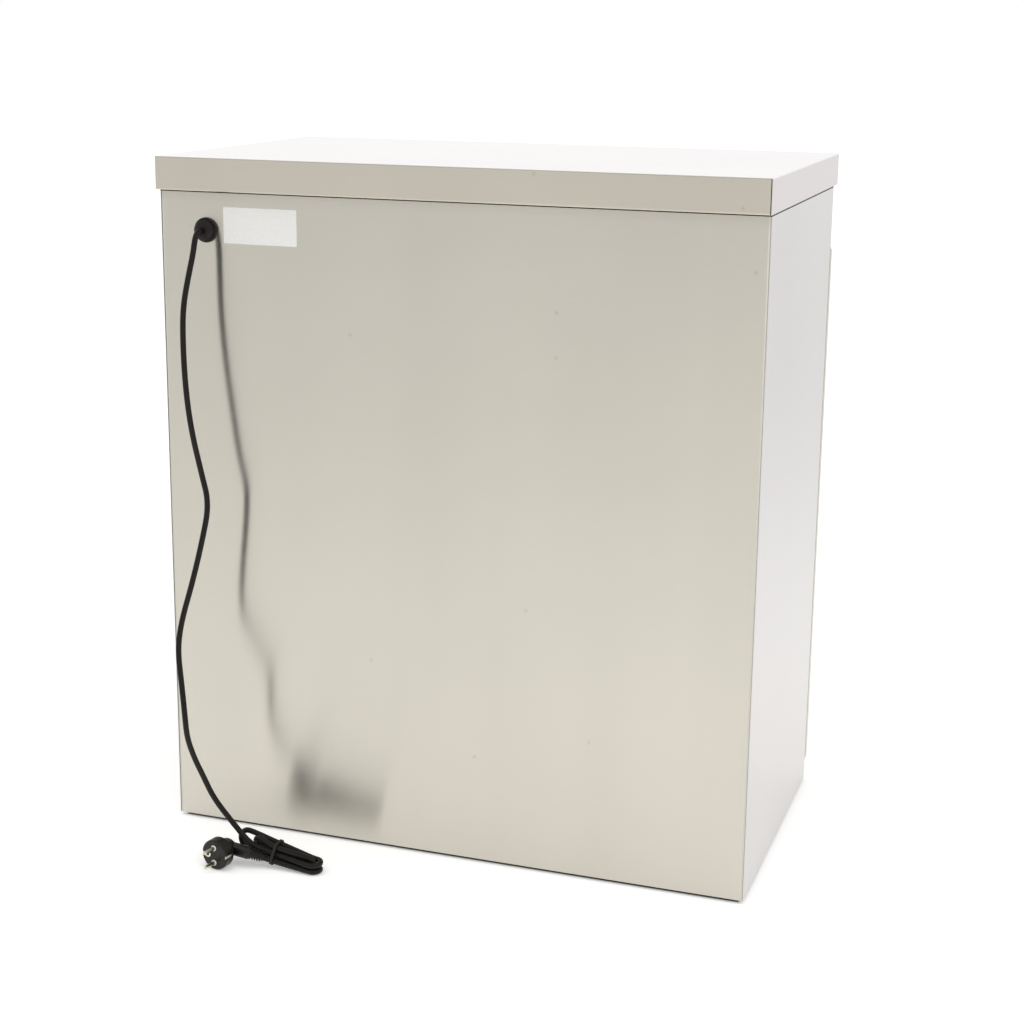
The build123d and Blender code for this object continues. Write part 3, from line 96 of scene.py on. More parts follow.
class Finish:
    """The nodes of one material, or of the world, round its one shader."""

    def __init__(self, name, world=None):
        self.owner = world or bpy.data.materials.new(name)
        self.owner.use_nodes = True
        self.tree = self.owner.node_tree
        self.shader = self.tree.nodes["Background" if world else "Principled BSDF"]

    def node(self, kind, settings=None, inputs=None, output=0):
        node = self.tree.nodes.new(kind)
        settings = dict(settings or {})
        stops = settings.pop("stops", None)
        for key, value in settings.items():
            setattr(node, key, value)
        if stops:
            ramp = node.color_ramp
            while len(ramp.elements) < len(stops):
                ramp.elements.new(1.0)
            for element, (place, colour) in zip(ramp.elements, stops):
                element.position = place
                element.color = (*colour, 1.0)
        for key, value in (inputs or {}).items():
            self.feed(node.inputs[key], value)
        return Wire(self, node.outputs[output])

    def feed(self, socket, value):
        if isinstance(value, Wire):
            self.tree.links.new(value.socket, socket)
        else:
            socket.default_value = value

    def set(self, **values):
        for key, value in values.items():
            self.feed(self.shader.inputs[key.replace("_", " ")], value)

    def place(self, stretch=(1, 1, 1)):
        """Where a point of the piece is, in metres, each axis stretched."""
        spot = self.node("ShaderNodeTexCoord", output="Object")
        return self.node("ShaderNodeMapping", {}, {"Vector": spot, "Scale": stretch})

    def along(self, axis):
        """How far a point of the piece lies along one axis, in metres."""
        return self.node("ShaderNodeSeparateXYZ", {}, {0: self.place()}, axis)

    def noise(self, scale, detail=2.0, stretch=(1, 1, 1)):
        return self.node(
            "ShaderNodeTexNoise", {},
            {"Vector": self.place(stretch), "Scale": scale, "Detail": detail},
        )

    def ramp(self, factor, *stops):
        return self.node("ShaderNodeValToRGB", {"stops": stops}, {"Fac": factor})

    def graded(self, value, start, first, end, last):
        """A level that goes from first to last while a value goes from start to end."""
        return self.node(
            "ShaderNodeMapRange", {},
            {"Value": value, "From Min": start, "From Max": end, "To Min": first, "To Max": last},
        )

    def blend(self, factor, colour, other):
        """A colour turned towards another by a factor."""
        inputs = {"Factor": factor, 6: colour, 7: other}
        return self.node("ShaderNodeMix", {"data_type": "RGBA"}, inputs, 2)

    def recolour(self, mask, colour):
        """Turns the piece to another colour where the mask is one."""
        before = Wire(self, self.shader.inputs["Base Color"].links[0].from_socket)
        self.set(Base_Color=self.blend(mask, before, (*colour, 1.0)))

    def dull(self, mask):
        """Takes the metal and the shine away where the mask is one."""
        before = Wire(self, self.shader.inputs["Roughness"].links[0].from_socket)
        self.set(Metallic=1.0 - mask, Roughness=before + mask)

    def bump(self, height, distance, strength=1.0):
        return self.node(
            "ShaderNodeBump", {}, {"Height": height, "Distance": distance, "Strength": strength}
        )


def shade(colour, amount):
    """A colour made lighter or darker by a share of itself."""
    return tuple(channel * amount for channel in colour)


def paint(finish, *nodes):
    """Gives a finish to CAD nodes, by name."""
    for name in nodes:
        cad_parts[name].data.materials.clear()
        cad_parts[name].data.materials.append(finish.owner)


GRAIN_ACROSS, GRAIN_ALONG = 900.0, 4.0
SPECK_COLOUR = (0.20, 0.17, 0.12)
SPECK_DEPTH, SPECK_REACH = 0.22, 0.032
SPECKS_PER_METRE, SPECKLESS_SHARE = 9.0, 0.62


def brushed_sheet(name, tint, grain_axis, roughness=0.225, stretch_of_shine=0.97):
    """Stainless sheet: fine level grain, faint bands, a few specks and a hardly seen wave."""
    finish = Finish(name)
    stretch = [GRAIN_ACROSS, GRAIN_ACROSS, GRAIN_ACROSS]
    stretch[grain_axis] = GRAIN_ALONG
    grain = finish.noise(1.0, 2.0, stretch)
    smear = finish.noise(5.0, 3.0)
    band = finish.noise(1.0, 2.0, (9.0, 9.0, 0.8))
    wave = finish.noise(2.2, 1.0)
    tone = grain * 0.4 + smear * 0.3 + band * 0.3
    level = finish.along("XYZ"[grain_axis])
    across = finish.along("XYZ"[1 - grain_axis]) + finish.along("Z")
    flat_place = finish.node("ShaderNodeCombineXYZ", {}, {0: level, 1: across})
    from_speck = finish.node(
        "ShaderNodeTexVoronoi", {"voronoi_dimensions": "2D"},
        {"Vector": flat_place, "Scale": SPECKS_PER_METRE}, "Distance",
    )
    specked = finish.noise(6.0) > SPECKLESS_SHARE
    marked = finish.graded(from_speck, 0.0, SPECK_DEPTH, SPECK_REACH, 0.0) * specked
    finish.set(
        Base_Color=finish.ramp(tone, (0.3, shade(tint, 0.94)), (0.7, shade(tint, 1.05))),
        Metallic=1.0,
        Roughness=roughness + (grain - 0.5) * 0.08 + (smear - 0.5) * 0.05,
        Anisotropic=stretch_of_shine,
        Anisotropic_Rotation=0.25,
        Normal=finish.bump(wave + grain * 0.004, 0.004, 0.25),
    )
    finish.recolour(marked, SPECK_COLOUR)
    return finish


# Each face's tint is the steel's colour with a painted reflection of the room in it: the back and
# front warmer and darker, the sides lighter, and the lid's top and ends lighter than its rear
# edge.
BACK_TINT_AND_REFLECTION = (0.66, 0.63, 0.556)
SIDE_TINT_AND_REFLECTION = (0.711, 0.683, 0.676)
# Painted shade under the lid's edge: a dark, dull line on the sheets just below it.
UNDER_LID_SHADE_COLOUR = (0.038, 0.032, 0.023)
UNDER_LID_SHADE_HEIGHT = 0.0022
# Painted shade: a band on the back below the lid's edge that darkens towards it.
SHADE_BAND_HEIGHT, SHADE_BAND_DEPTH = 0.014, 0.10
# Painted highlight: a lighter, dull strip along the back's two folded edges.
FOLD_HIGHLIGHT_COLOUR = (0.62, 0.60, 0.53)
FOLD_HIGHLIGHT_WIDTH = 0.0024
LID_TINT_AND_REFLECTION = (0.655, 0.616, 0.530)
LID_END_TINT_AND_REFLECTION = (0.82, 0.766, 0.764)
FACE_DEPTH = 0.0004
lid_low, lid_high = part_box("lid")
back_sheet = brushed_sheet("brushed_back_sheet", BACK_TINT_AND_REFLECTION, grain_axis=0)
front_sheet = brushed_sheet("brushed_front_sheet", BACK_TINT_AND_REFLECTION, grain_axis=0)
side_sheet = brushed_sheet("brushed_side_sheet", SIDE_TINT_AND_REFLECTION, grain_axis=1)
# Painted shade: a dark, dull line on the front panel and the sides just under the lid's edge.
for sheet in (front_sheet, side_sheet):
    under_lid_shade = sheet.along("Z") > lid_low.z - UNDER_LID_SHADE_HEIGHT
    sheet.recolour(under_lid_shade, UNDER_LID_SHADE_COLOUR)
    sheet.dull(under_lid_shade)
# Painted shade: the same dark, dull line on the back under the lid's edge.
under_lid_shade = back_sheet.along("Z") > lid_low.z - UNDER_LID_SHADE_HEIGHT
# Painted highlight: the back's folded edges turn a lighter, dull grey.
fold_highlight = abs(back_sheet.along("X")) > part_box("back_panel")[1].x - FOLD_HIGHLIGHT_WIDTH
# Painted shade: the back darkens more and more towards the lid's edge over this band.
shade_band = (back_sheet.along("Z") - (lid_low.z - SHADE_BAND_HEIGHT)) * (SHADE_BAND_DEPTH / SHADE_BAND_HEIGHT)
back_sheet.recolour(shade_band.at_least(0.0), UNDER_LID_SHADE_COLOUR)
back_sheet.recolour(fold_highlight, FOLD_HIGHLIGHT_COLOUR)
back_sheet.recolour(under_lid_shade, UNDER_LID_SHADE_COLOUR)
back_sheet.dull(under_lid_shade.at_least(fold_highlight))
lid_sheet = brushed_sheet(
    "brushed_lid_sheet", LID_TINT_AND_REFLECTION, grain_axis=0, roughness=0.21, stretch_of_shine=0.0
)
# Painted light: the lid's top takes the sides' lighter tint, and its two ends a lighter one still.
lid_sheet.recolour(lid_sheet.along("Z") > lid_high.z - FACE_DEPTH, SIDE_TINT_AND_REFLECTION)
lid_sheet.recolour(lid_sheet.along("X") > lid_high.x - FACE_DEPTH, LID_END_TINT_AND_REFLECTION)
lid_sheet.recolour(lid_sheet.along("X") < lid_low.x + FACE_DEPTH, LID_END_TINT_AND_REFLECTION)
paint(back_sheet, "back_panel")
paint(front_sheet, "control_panel")
paint(lid_sheet, "lid")
paint(side_sheet, "side_panel_left", "side_panel_right")


# Rails and base pan: the same steel, left plain because the doors and the floor hide it.
# They are spot-welded between the sides and carry the chamber's floor and ceiling.

def plain_sheet(name, tint, roughness):
    """Mill-finish sheet with cloudy smears and fine scratches both ways."""
    finish = Finish(name)
    cloud = finish.noise(14.0, 4.0)
    scratch = finish.noise(1.0, 2.0, (60.0, 60.0, 500.0))
    tone = cloud * 0.6 + scratch * 0.4
    finish.set(
        Base_Color=finish.ramp(tone, (0.3, shade(tint, 0.88)), (0.7, shade(tint, 1.06))),
        Metallic=1.0,
        Roughness=roughness + (cloud - 0.5) * 0.14 + (scratch - 0.5) * 0.06,
        Normal=finish.bump(scratch, 0.0002, 0.2),
    )
    return finish


frame_sheet = plain_sheet("plain_frame_sheet", (0.60, 0.59, 0.57), 0.36)
paint(frame_sheet, "sill_rail", "header_rail", "base_pan")


# Chamber: five thin stainless liners, the slotted deck over the heater and its stands,
# and the slotted uprights with their hooked shelf clips.
# Years of dry heat leave a faint straw colour near the deck.

liner_sheet = plain_sheet("chamber_liner_sheet", (0.62, 0.61, 0.60), 0.32)
paint(liner_sheet, "liner_back", "liner_left", "liner_right", "liner_ceiling", "liner_floor")
paint(liner_sheet, "shelf_uprights", "shelf_clips")
warm_sheet = plain_sheet("heat_tinted_sheet", (0.58, 0.52, 0.42), 0.38)
paint(warm_sheet, "element_deck", "element_supports")


# Insulation: mineral wool slabs pushed between the liners and the casing.
# The fibres lie in flat layers and the colour is uneven.

wool = Finish("mineral_wool")
wool_fibre = wool.noise(1.0, 4.0, (160.0, 160.0, 600.0))
wool.set(
    Base_Color=wool.ramp(wool_fibre, (0.25, (0.36, 0.29, 0.13)), (0.75, (0.70, 0.62, 0.38))),
    Roughness=0.95,
    Normal=wool.bump(wool_fibre, 0.003, 0.8),
)
paint(wool, "insulation")


# Heater: a steel-sheathed element, bent in four passes and laid on stands under the deck.
# Heat has blued and dulled its sheath.

heater = Finish("heated_sheath")
heater_stain = heater.noise(30.0, 4.0)
heater.set(
    Base_Color=heater.ramp(
        heater_stain,
        (0.3, (0.10, 0.09, 0.10)), (0.55, (0.20, 0.17, 0.15)), (0.8, (0.27, 0.22, 0.17)),
    ),
    Metallic=0.9,
    Roughness=0.42 + (heater_stain - 0.5) * 0.3,
    Normal=heater.bump(heater.noise(500.0), 0.0002, 0.3),
)
paint(heater, "heating_element")


# Shelves: round steel wire, welded into two open grids that rest on the clips.
# They were chromed after welding, so the small drops of weld are smooth.

chrome = Finish("chromed_wire")
chrome_film = chrome.noise(40.0, 3.0)
chrome.set(
    Base_Color=chrome.ramp(chrome_film, (0.3, (0.66, 0.66, 0.67)), (0.7, (0.78, 0.78, 0.79))),
    Metallic=1.0,
    Roughness=0.10 + chrome_film * 0.12,
)
paint(chrome, "shelf_lower", "shelf_upper")


# Small hardware: pressed and turned steel pieces with a bright zinc coat.
# Hinge brackets and pins, nuts, screws, strike plates, clips and the knob's spindle.

zinc = Finish("bright_zinc")
zinc_bloom = zinc.noise(120.0, 4.0)
zinc.set(
    Base_Color=zinc.ramp(zinc_bloom, (0.3, (0.48, 0.49, 0.50)), (0.7, (0.66, 0.66, 0.64))),
    Metallic=1.0,
    Roughness=0.30 + zinc_bloom * 0.2,
)
paint(zinc, "hinge_brackets", "hinge_pins", "foot_nuts", "gland_nut", "bulb_clips")
paint(zinc, "door_handle_screws_left", "door_handle_screws_right", "thermostat_spindle")
paint(zinc, "door_strike_left", "door_strike_right")


# Thermostat bulb: a drawn copper capillary that ends in a bulb, held by clips.
# Handling has darkened the copper in patches.

copper = Finish("dull_copper")
copper_tarnish = copper.noise(70.0, 4.0)
copper.set(
    Base_Color=copper.ramp(copper_tarnish, (0.3, (0.32, 0.15, 0.09)), (0.7, (0.72, 0.38, 0.24))),
    Metallic=1.0,
    Roughness=0.28 + copper_tarnish * 0.2,
)
paint(copper, "thermostat_bulb")


# Moulded electrical pieces: black nylon outside, cream heat-proof plastic inside.
# Spark-eroded moulds leave them with a fine even grain.

def moulded(name, colour, roughness, grain=1400.0, lift=0.00012, gloss=0.5):
    """Moulded plastic with a fine grain and slightly uneven gloss."""
    finish = Finish(name)
    pores = finish.noise(grain, 2.0)
    flow = finish.noise(25.0, 3.0)
    finish.set(
        Base_Color=finish.ramp(flow, (0.3, shade(colour, 0.86)), (0.7, shade(colour, 1.12))),
        Roughness=roughness + (flow - 0.5) * 0.12 + (pores - 0.5) * 0.08,
        Specular_IOR_Level=gloss,
        Normal=finish.bump(pores, lift, 0.5),
    )
    return finish


black_nylon = moulded("black_nylon", (0.0115, 0.0095, 0.0078), 0.42, gloss=0.22)
paint(black_nylon, "thermostat_knob", "switch_body", "magnet_catches", "glide_feet", "cable_gland")
key_plastic = moulded("glossy_key_plastic", (0.028, 0.028, 0.030), 0.22)
paint(key_plastic, "rocker_key")
cream_plastic = moulded("cream_heatproof_plastic", (0.70, 0.65, 0.52), 0.45)
paint(cream_plastic, "thermostat_body", "safety_cutout", "terminal_block")
natural_nylon = moulded("natural_nylon", (0.74, 0.72, 0.66), 0.40)
paint(natural_nylon, "door_bushes_left", "door_bushes_right")


# Dial and pointer: dark ticks printed round the knob on the front panel, and a white
# line let into the groove of the knob, which turns with it.

def film_patch(name, size, corner, thick):
    """A thin film with rounded corners, lying level on the origin."""
    bpy.ops.object.select_all(action="DESELECT")
    bpy.ops.mesh.primitive_plane_add(size=1.0)
    patch = bpy.context.object
    patch.name = patch.data.name = name
    patch.scale = (*size, 1.0)
    bpy.ops.object.transform_apply(scale=True)
    bpy.ops.object.mode_set(mode="EDIT")
    bpy.ops.mesh.select_all(action="SELECT")
    bpy.ops.mesh.bevel(affect="VERTICES", offset=corner, segments=4)
    bpy.ops.mesh.extrude_region_move(TRANSFORM_OT_translate={"value": (0, 0, thick)})
    bpy.ops.mesh.select_all(action="SELECT")
    bpy.ops.mesh.normals_make_consistent(inside=False)
    bpy.ops.object.mode_set(mode="OBJECT")
    return patch


def settle(piece, matrix, finish, body):
    """Puts a piece where it belongs, with its own axes at the origin, and fixes it to a body."""
    piece.data.transform(matrix)
    piece.data.materials.append(finish.owner)
    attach(piece, body)


FACING_FRONT = Matrix.Rotation(pi / 2, 4, "X")
DIAL_TICKS = 11
DIAL_SWEEP = radians(270.0)
DIAL_RADIUS = 0.0275
TICK_SIZE, TICK_CORNER = (0.0009, 0.0050), 0.0002
POINTER_SIZE, POINTER_CORNER, POINTER_THICK = (0.0012, 0.0110), 0.0003, 0.0005
POINTER_SUNK, POINTER_RISE = 0.00075, 0.0068
FILM_THICK = 0.00015
FILM_LIFT = 0.00005
knob_low, knob_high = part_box("thermostat_knob")
knob_middle = (knob_low + knob_high) / 2
panel_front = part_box("control_panel")[0].y
dial_middle = (knob_middle.x, panel_front - FILM_LIFT, knob_middle.z)
dial_place = Matrix.Translation(dial_middle) @ FACING_FRONT
print_ink = moulded("dark_print", (0.030, 0.030, 0.032), 0.55)
for tick in range(DIAL_TICKS):
    angle = DIAL_SWEEP * (0.5 - tick / (DIAL_TICKS - 1))
    stroke = film_patch(f"dial_tick_{tick}", TICK_SIZE, TICK_CORNER, FILM_THICK)
    turned = Matrix.Rotation(angle, 4, "Z") @ Matrix.Translation((0, DIAL_RADIUS, 0))
    settle(stroke, dial_place @ turned, print_ink, "cabinet")
white_paint = moulded("white_paint", (0.80, 0.79, 0.76), 0.45)
pointer = film_patch("knob_pointer", POINTER_SIZE, POINTER_CORNER, POINTER_THICK)
pointer_middle = (knob_middle.x, knob_low.y + POINTER_SUNK, knob_middle.z + POINTER_RISE)
settle(pointer, Matrix.Translation(pointer_middle) @ FACING_FRONT, white_paint, "knob")


# Pilot lamp: a clear amber-red lens over a neon, pushed into the front panel.
# Rings moulded inside the lens spread the glow.

lens = Finish("amber_lens")
lens_ribs = lens.node(
    "ShaderNodeTexWave", {"wave_type": "RINGS", "rings_direction": "Y"},
    {"Vector": lens.place(), "Scale": 160.0},
)
lens.set(
    Base_Color=lens.ramp(lens_ribs, (0.2, (0.45, 0.05, 0.02)), (0.8, (0.72, 0.14, 0.04))),
    Roughness=0.12,
    Coat_Weight=0.6,
    Normal=lens.bump(lens_ribs, 0.0002, 0.3),
)
paint(lens, "pilot_lamp")


# Doors: outer and inner pans of brushed sheet, a grey silicone seal on the inner face,
# and a satin bar handle held by screws from inside.

paint(front_sheet, "door_skin_left", "door_skin_right")
paint(liner_sheet, "door_inner_left", "door_inner_right")
seal = moulded("grey_silicone", (0.20, 0.20, 0.20), 0.55, grain=300.0)
paint(seal, "door_gasket_left", "door_gasket_right")
satin = Finish("satin_bar")
satin_grain = satin.noise(1.0, 2.0, (700.0, 700.0, 9.0))
satin.set(
    Base_Color=satin.ramp(satin_grain, (0.3, (0.60, 0.59, 0.57)), (0.7, (0.72, 0.71, 0.69))),
    Metallic=1.0,
    Roughness=0.22 + satin_grain * 0.12,
)
paint(satin, "door_handle_left", "door_handle_right")


# Inner wiring: four single wires in brown sleeves, run in the top and the side wall.
# They join the terminal block to the controls and the heater.

sleeve = moulded("brown_wire_sleeve", (0.16, 0.07, 0.03), 0.38)
paint(sleeve, "wire_loom")


# Power cord: one round black rubber lead, 7 mm thick, from the gland to the plug.
# It hangs down the back in slow waves, then lies on the floor folded in a tied hank.
# The hank is worked out along its length, across it and up, from its own middle.

CORD_RADIUS, CORD_LENGTH = 0.0035, 1.40
cord_rubber = moulded("black_cord_rubber", (0.0080, 0.0062, 0.0050), 0.34, grain=900.0, gloss=0.24)
paint(cord_rubber, "supply_lead")

HANGING_ROUTE = [
    (0.3130, 0.2310, 0.7680), (0.3130, 0.2410, 0.7680), (0.3134, 0.2475, 0.7615),
    (0.3142, 0.2520, 0.7430), (0.3180, 0.2590, 0.7150), (0.3220, 0.2665, 0.6800),
    (0.3220, 0.2695, 0.6400), (0.3185, 0.2730, 0.5850), (0.3120, 0.2740, 0.5330),
    (0.3020, 0.2695, 0.4780), (0.2925, 0.2700, 0.4410), (0.2990, 0.2780, 0.3960),
    (0.3090, 0.2870, 0.3450), (0.3195, 0.2990, 0.2970), (0.3220, 0.3060, 0.2620),
    (0.3110, 0.3190, 0.2260), (0.3000, 0.3330, 0.1900), (0.2968, 0.3353, 0.1620),
    (0.2930, 0.3255, 0.1320), (0.2855, 0.3190, 0.1080), (0.2725, 0.3178, 0.0800),
]
HANK_MIDDLE = Vector((0.1885, 0.3130, 0.0))
HANK_TURN = Matrix.Rotation(radians(174.0), 3, "Z")
HANK_START = Vector((-0.0460, -0.0110, 0.0400))
HANK_AIM = Vector((0.70, 0.04, -0.71)).normalized()
HANK_APPROACH = 0.022
HANK_STRANDS = [
    (-0.0042, 0.0184), (0.0048, 0.0280), (0.0000, 0.0100),
    (-0.0042, 0.0270), (0.0056, 0.0188), (-0.0096, 0.0102),
]
HANK_FOLDS = [
    (0.0490, (-0.0049, 0.0120), (0.0122, 0.0136)),
    (-0.0440, (0.0048, 0.0364), (0.0048, 0.0134)),
    (0.0430, (0.0036, 0.0042), (0.0026, 0.0182)),
    (-0.0220, (-0.0044, 0.0340), (0.0036, 0.0206)),
    (0.0490, (0.0118, 0.0042), (-0.0044, 0.0042)),
]
TIE_GRIP = 0.008
LEAD_END = Vector((-0.0123, -0.0129, 0.0135))
LEAD_AIM = Vector((-0.914, -0.299, 0.273)).normalized()
LEAD_STRAIGHT = 0.0085


def fold_points(first, last):
    """A half turn at one end of the hank, round the eight-sided frame of its circle."""
    half = (last - first) / 2
    reach = Vector((copysign(half.length, first.x), 0, 0))
    lead = reach * tan(pi / 8)
    corners = []
    for step in (-1.5, -0.5, 0.5, 1.5):
        spoke = reach * cos(step * pi / 4) + half * sin(step * pi / 4)
        corners.append((first + last) / 2 + spoke / cos(pi / 8))
    return [first - lead, *corners, last - lead]


hank = [HANK_START - HANK_AIM * HANK_APPROACH, HANK_START + HANK_AIM * HANK_APPROACH]
last_fold = HANK_START
for strand, (along, before, after) in zip(HANK_STRANDS, HANK_FOLDS):
    held = Vector((0, *strand))
    fold_in, fold_out = Vector((along, *before)), Vector((along, *after))
    grip = (fold_in - last_fold).normalized() * TIE_GRIP
    hank += [held - grip, held + grip] + fold_points(fold_in, fold_out)
    last_fold = fold_out
grip = (LEAD_END - last_fold).normalized() * TIE_GRIP
hank += [Vector((0, *HANK_STRANDS[-1])) - grip, LEAD_END - LEAD_AIM * LEAD_STRAIGHT, LEAD_END]
cord_points = [Vector(p) for p in HANGING_ROUTE]
cord_points += [HANK_MIDDLE + HANK_TURN @ p for p in hank]

cord_line = bpy.data.curves.new("power_cord", "CURVE")
cord_line.dimensions = "3D"
cord_line.bevel_depth = CORD_RADIUS
cord_line.bevel_resolution = 5
cord_line.resolution_u = 8
cord_line.use_fill_caps = True
spline = cord_line.splines.new("NURBS")
spline.points.add(len(cord_points) - 1)
for point, place in zip(spline.points, cord_points):
    point.co = (*place, 1.0)
spline.order_u = 3
spline.use_endpoint_u = True
power_cord = bpy.data.objects.new("power_cord", cord_line)
bpy.context.scene.collection.objects.link(power_cord)
power_cord.data.materials.append(cord_rubber.owner)
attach(power_cord, "cabinet")
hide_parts("cord_free", "cord_hank")


# Hank's tie and the moulded plug with its contacts, all on the end of the cord.
# White rings sit round the two pins where they leave the plug's face, and the strain
# relief has thin ribs that let it bend.

strap = moulded("black_strap", (0.008, 0.008, 0.008), 0.30, gloss=0.4)
paint(strap, "cord_tie")
plug_rubber = moulded("black_plug_rubber", (0.0085, 0.007, 0.006), 0.30, grain=700.0, gloss=0.36)
paint(plug_rubber, "plug")
brass = Finish("plated_brass")
brass_wear = brass.noise(200.0, 3.0)
brass.set(
    Base_Color=brass.ramp(brass_wear, (0.3, (0.66, 0.60, 0.46)), (0.7, (0.86, 0.83, 0.74))),
    Metallic=1.0,
    Roughness=0.18 + brass_wear * 0.15,
)
paint(brass, "plug_contacts")

PLUG_FACE = Vector((0.256151, 0.350226, 0.019235))
PLUG_AXIS = Vector((0.194234, 0.980955, 0.0))
PIN_OFFSET = 0.0095
COLLAR_MIDDLE, COLLAR_WALL, COLLAR_STRETCH = 0.0031, 0.0006, 1.5
collar_finish = moulded("white_pin_rings", (0.78, 0.77, 0.74), 0.40)
plug_pieces = [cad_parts[name] for name in ("cord_tie", "plug", "plug_contacts")]
for side in (-1, 1):
    bpy.ops.object.select_all(action="DESELECT")
    bpy.ops.mesh.primitive_torus_add(
        major_radius=COLLAR_MIDDLE, minor_radius=COLLAR_WALL, major_segments=32, minor_segments=12
    )
    collar = bpy.context.object
    collar.name = collar.data.name = "pin_collar_upper" if side > 0 else "pin_collar_lower"
    bpy.ops.object.mode_set(mode="EDIT")
    bpy.ops.mesh.select_all(action="SELECT")
    bpy.ops.transform.resize(value=(1.0, 1.0, COLLAR_STRETCH))
    bpy.ops.object.mode_set(mode="OBJECT")
    bpy.ops.object.shade_smooth()
    seat = PLUG_FACE + PLUG_AXIS * COLLAR_WALL + Vector((0, 0, side * PIN_OFFSET))
    aim = PLUG_AXIS.to_track_quat("Z", "Y").to_matrix().to_4x4()
    settle(collar, Matrix.Translation(seat) @ aim, collar_finish, "cabinet")
    plug_pieces.append(collar)

RELIEF_RIBS = 6
RIB_FIRST, RIB_PITCH, RIB_THICK = 0.00375, 0.0030, 0.0014
RIB_SMALL, RIB_GROWTH = 0.0061, 0.0002
relief_axis = HANK_TURN @ LEAD_AIM
relief_turn = relief_axis.to_track_quat("Z", "Y").to_matrix().to_4x4()
for rib in range(RELIEF_RIBS):
    bpy.ops.object.select_all(action="DESELECT")
    bpy.ops.mesh.primitive_cylinder_add(
        vertices=40, radius=RIB_SMALL + rib * RIB_GROWTH, depth=RIB_THICK
    )
    fin = bpy.context.object
    fin.name = fin.data.name = f"relief_rib_{rib}"
    bpy.ops.object.mode_set(mode="EDIT")
    bpy.ops.mesh.select_all(action="SELECT")
    bpy.ops.mesh.bevel(affect="EDGES", offset=RIB_THICK / 4, segments=2, clamp_overlap=True)
    bpy.ops.object.mode_set(mode="OBJECT")
    bpy.ops.object.shade_smooth_by_angle(angle=radians(40.0))
    seat = cord_points[-1] + relief_axis * (RIB_FIRST + rib * RIB_PITCH)
    settle(fin, Matrix.Translation(seat) @ relief_turn, plug_rubber, "cabinet")
    plug_pieces.append(fin)


# Blank sticker: a thin white plastic film with rounded corners, stuck on the back panel
# beside the cord's gland.

STICKER_LEFT, STICKER_RIGHT = 0.1935, 0.2900
STICKER_LOW, STICKER_HIGH = 0.7530, 0.7965
STICKER_CORNER = 0.0015
FACING_BACK = Matrix.Rotation(-pi / 2, 4, "X")
sticker_size = (STICKER_RIGHT - STICKER_LEFT, STICKER_HIGH - STICKER_LOW)
sticker = film_patch("blank_sticker", sticker_size, STICKER_CORNER, FILM_THICK)
sticker_place = Matrix.Translation((
    (STICKER_LEFT + STICKER_RIGHT) / 2,
    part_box("back_panel")[1].y + FILM_LIFT,
    (STICKER_LOW + STICKER_HIGH) / 2,
))
film = Finish("white_film")
film_mottle = film.noise(260.0, 4.0)
film.set(
    Base_Color=film.ramp(film_mottle, (0.3, (0.750, 0.745, 0.725)), (0.7, (0.785, 0.780, 0.760))),
    Roughness=0.35 + film_mottle * 0.1,
    Normal=film.bump(film.noise(12.0), 0.0005, 0.1),
)
settle(sticker, sticker_place @ FACING_BACK, film, "cabinet")


# Studio: a broad white floor that keeps a soft shadow, a white backdrop, and two soft lamps
# that the metal doesn't mirror. The floor looks dimmer in the metal the farther away it is,
# and so does the room behind the camera, so the back panel darkens towards its top.

FLOOR_SIZE = 400.0
bpy.ops.object.select_all(action="DESELECT")
bpy.ops.mesh.primitive_plane_add(size=FLOOR_SIZE, location=(0, 0, 0))
floor = bpy.context.object
floor.name = "studio_floor"


def seen_share(finish, direct, glossy):
    """One value for what is seen straight or through something, another for a reflection."""
    seen = finish.node("ShaderNodeLightPath", output="Is Camera Ray")
    through = finish.node("ShaderNodeLightPath", output="Is Transmission Ray")
    mirrored = finish.node("ShaderNodeLightPath", output="Is Glossy Ray")
    return (seen + through) * direct + mirrored * glossy


# Painted shadow: the floor turns near-black under the cabinet's base and loses its glow there.
FLOOR_COLOUR, UNDER_BASE_SHADOW_COLOUR = (0.93, 0.93, 0.92), (0.10, 0.095, 0.085)
FLOOR_GLOW = 0.42
SEEN_NEAR, SEEN_FAR = 0.60, 1.00
SEEN_START, SEEN_END = 0.25, 1.30
MIRRORED_NEAR, MIRRORED_FAR = 0.40, 0.205
MIRRORED_START, MIRRORED_END = 0.40, 2.40
BASE_INSET, GLOW_EDGE = 0.006, 0.003
base_low, base_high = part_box("base_pan")
base_middle, base_half = (base_high + base_low) / 2, (base_high - base_low) / 2
ground = Finish("pale_floor")
aside = abs(ground.along("X") - base_middle.x) - base_half.x
aback = abs(ground.along("Y") - base_middle.y) - base_half.y
away = aside.at_least(aback)
# clear_of_base is nought under the base, where the floor takes the painted shadow's colour.
clear_of_base = (away + BASE_INSET) * (1 / GLOW_EDGE)
seen_glow = ground.graded(away, SEEN_START, SEEN_NEAR, SEEN_END, SEEN_FAR)
mirrored_glow = ground.graded(away, MIRRORED_START, MIRRORED_NEAR, MIRRORED_END, MIRRORED_FAR)
glow = clear_of_base.at_most(1.0) * seen_share(ground, seen_glow, mirrored_glow)
ground.set(
    Base_Color=ground.ramp(clear_of_base, (0.0, UNDER_BASE_SHADOW_COLOUR), (1.0, FLOOR_COLOUR)),
    Roughness=0.9,
    Emission_Color=ground.ramp(glow, (0.0, (0, 0, 0)), (1.0, (1, 1, 1))),
    Emission_Strength=FLOOR_GLOW,
)
floor.data.materials.append(ground.owner)

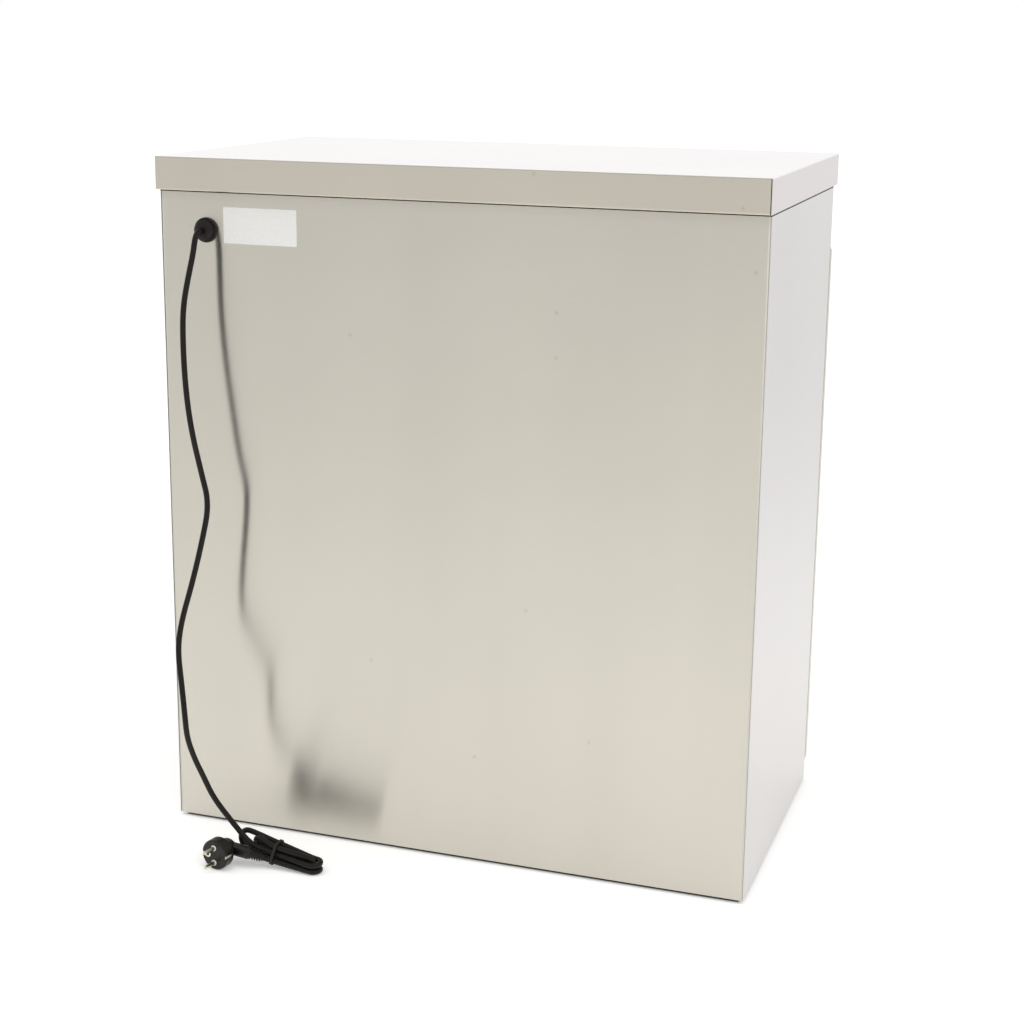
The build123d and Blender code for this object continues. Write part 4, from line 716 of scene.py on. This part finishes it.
SKY_LIGHT, SKY_SEEN = 0.80, 1.00
SKY_BEHIND, SKY_ROOM, SKY_TURN = 1.14, 0.67, 0.6
studio = bpy.context.scene.world or bpy.data.worlds.new("studio")
bpy.context.scene.world = studio
sky = Finish("studio", world=studio)
sky_way = sky.node("ShaderNodeTexCoord", output="Generated")
sky_aback = sky.node("ShaderNodeSeparateXYZ", {}, {0: sky_way}, "Y")
mirrored_sky = sky.graded(
    sky_aback, -SKY_TURN, SKY_BEHIND - SKY_LIGHT, SKY_TURN, SKY_ROOM - SKY_LIGHT
)
sky.set(
    Color=(1.0, 1.0, 1.0, 1.0),
    Strength=SKY_LIGHT + seen_share(sky, SKY_SEEN - SKY_LIGHT, mirrored_sky),
)


def soft_lamp(name, place, target, size, watts):
    """A square soft box aimed at a point, left out of what metal and gloss mirror."""
    lamp = bpy.data.objects.new(name, bpy.data.lights.new(name, "AREA"))
    lamp.data.size = size
    lamp.data.energy = watts
    lamp.visible_glossy = False
    lamp.location = place
    lamp.rotation_euler = (Vector(target) - Vector(place)).to_track_quat("-Z", "Y").to_euler()
    bpy.context.scene.collection.objects.link(lamp)


soft_lamp("overhead_box", (0.1, 0.6, 2.2), (0.0, 0.4, 0.0), 1.8, 12.0)
soft_lamp("side_box", (-2.2, 1.6, 2.0), (-0.4, 0.1, 0.0), 2.2, 22.0)

CAMERA_PLACE = (-0.76057, 2.2313, 1.01673)
CAMERA_ASIDE, CAMERA_DOWN, CAMERA_ROLL = 18.935, 13.432, 0.571
camera = bpy.data.objects.new("camera", bpy.data.cameras.new("camera"))
camera.data.sensor_width = 36.0
camera.data.lens = 65.55
camera.data.shift_x = 0.0070
camera.data.shift_y = -0.0449
camera.location = CAMERA_PLACE
heading = Matrix.Rotation(radians(180.0 + CAMERA_ASIDE), 3, "Z")
tilt = Matrix.Rotation(radians(90.0 - CAMERA_DOWN), 3, "X")
roll = Matrix.Rotation(radians(CAMERA_ROLL), 3, "Z")
camera.rotation_euler = (heading @ tilt @ roll).to_euler()
bpy.context.scene.collection.objects.link(camera)
bpy.context.scene.camera = camera
bpy.context.scene.view_settings.view_transform = "Standard"
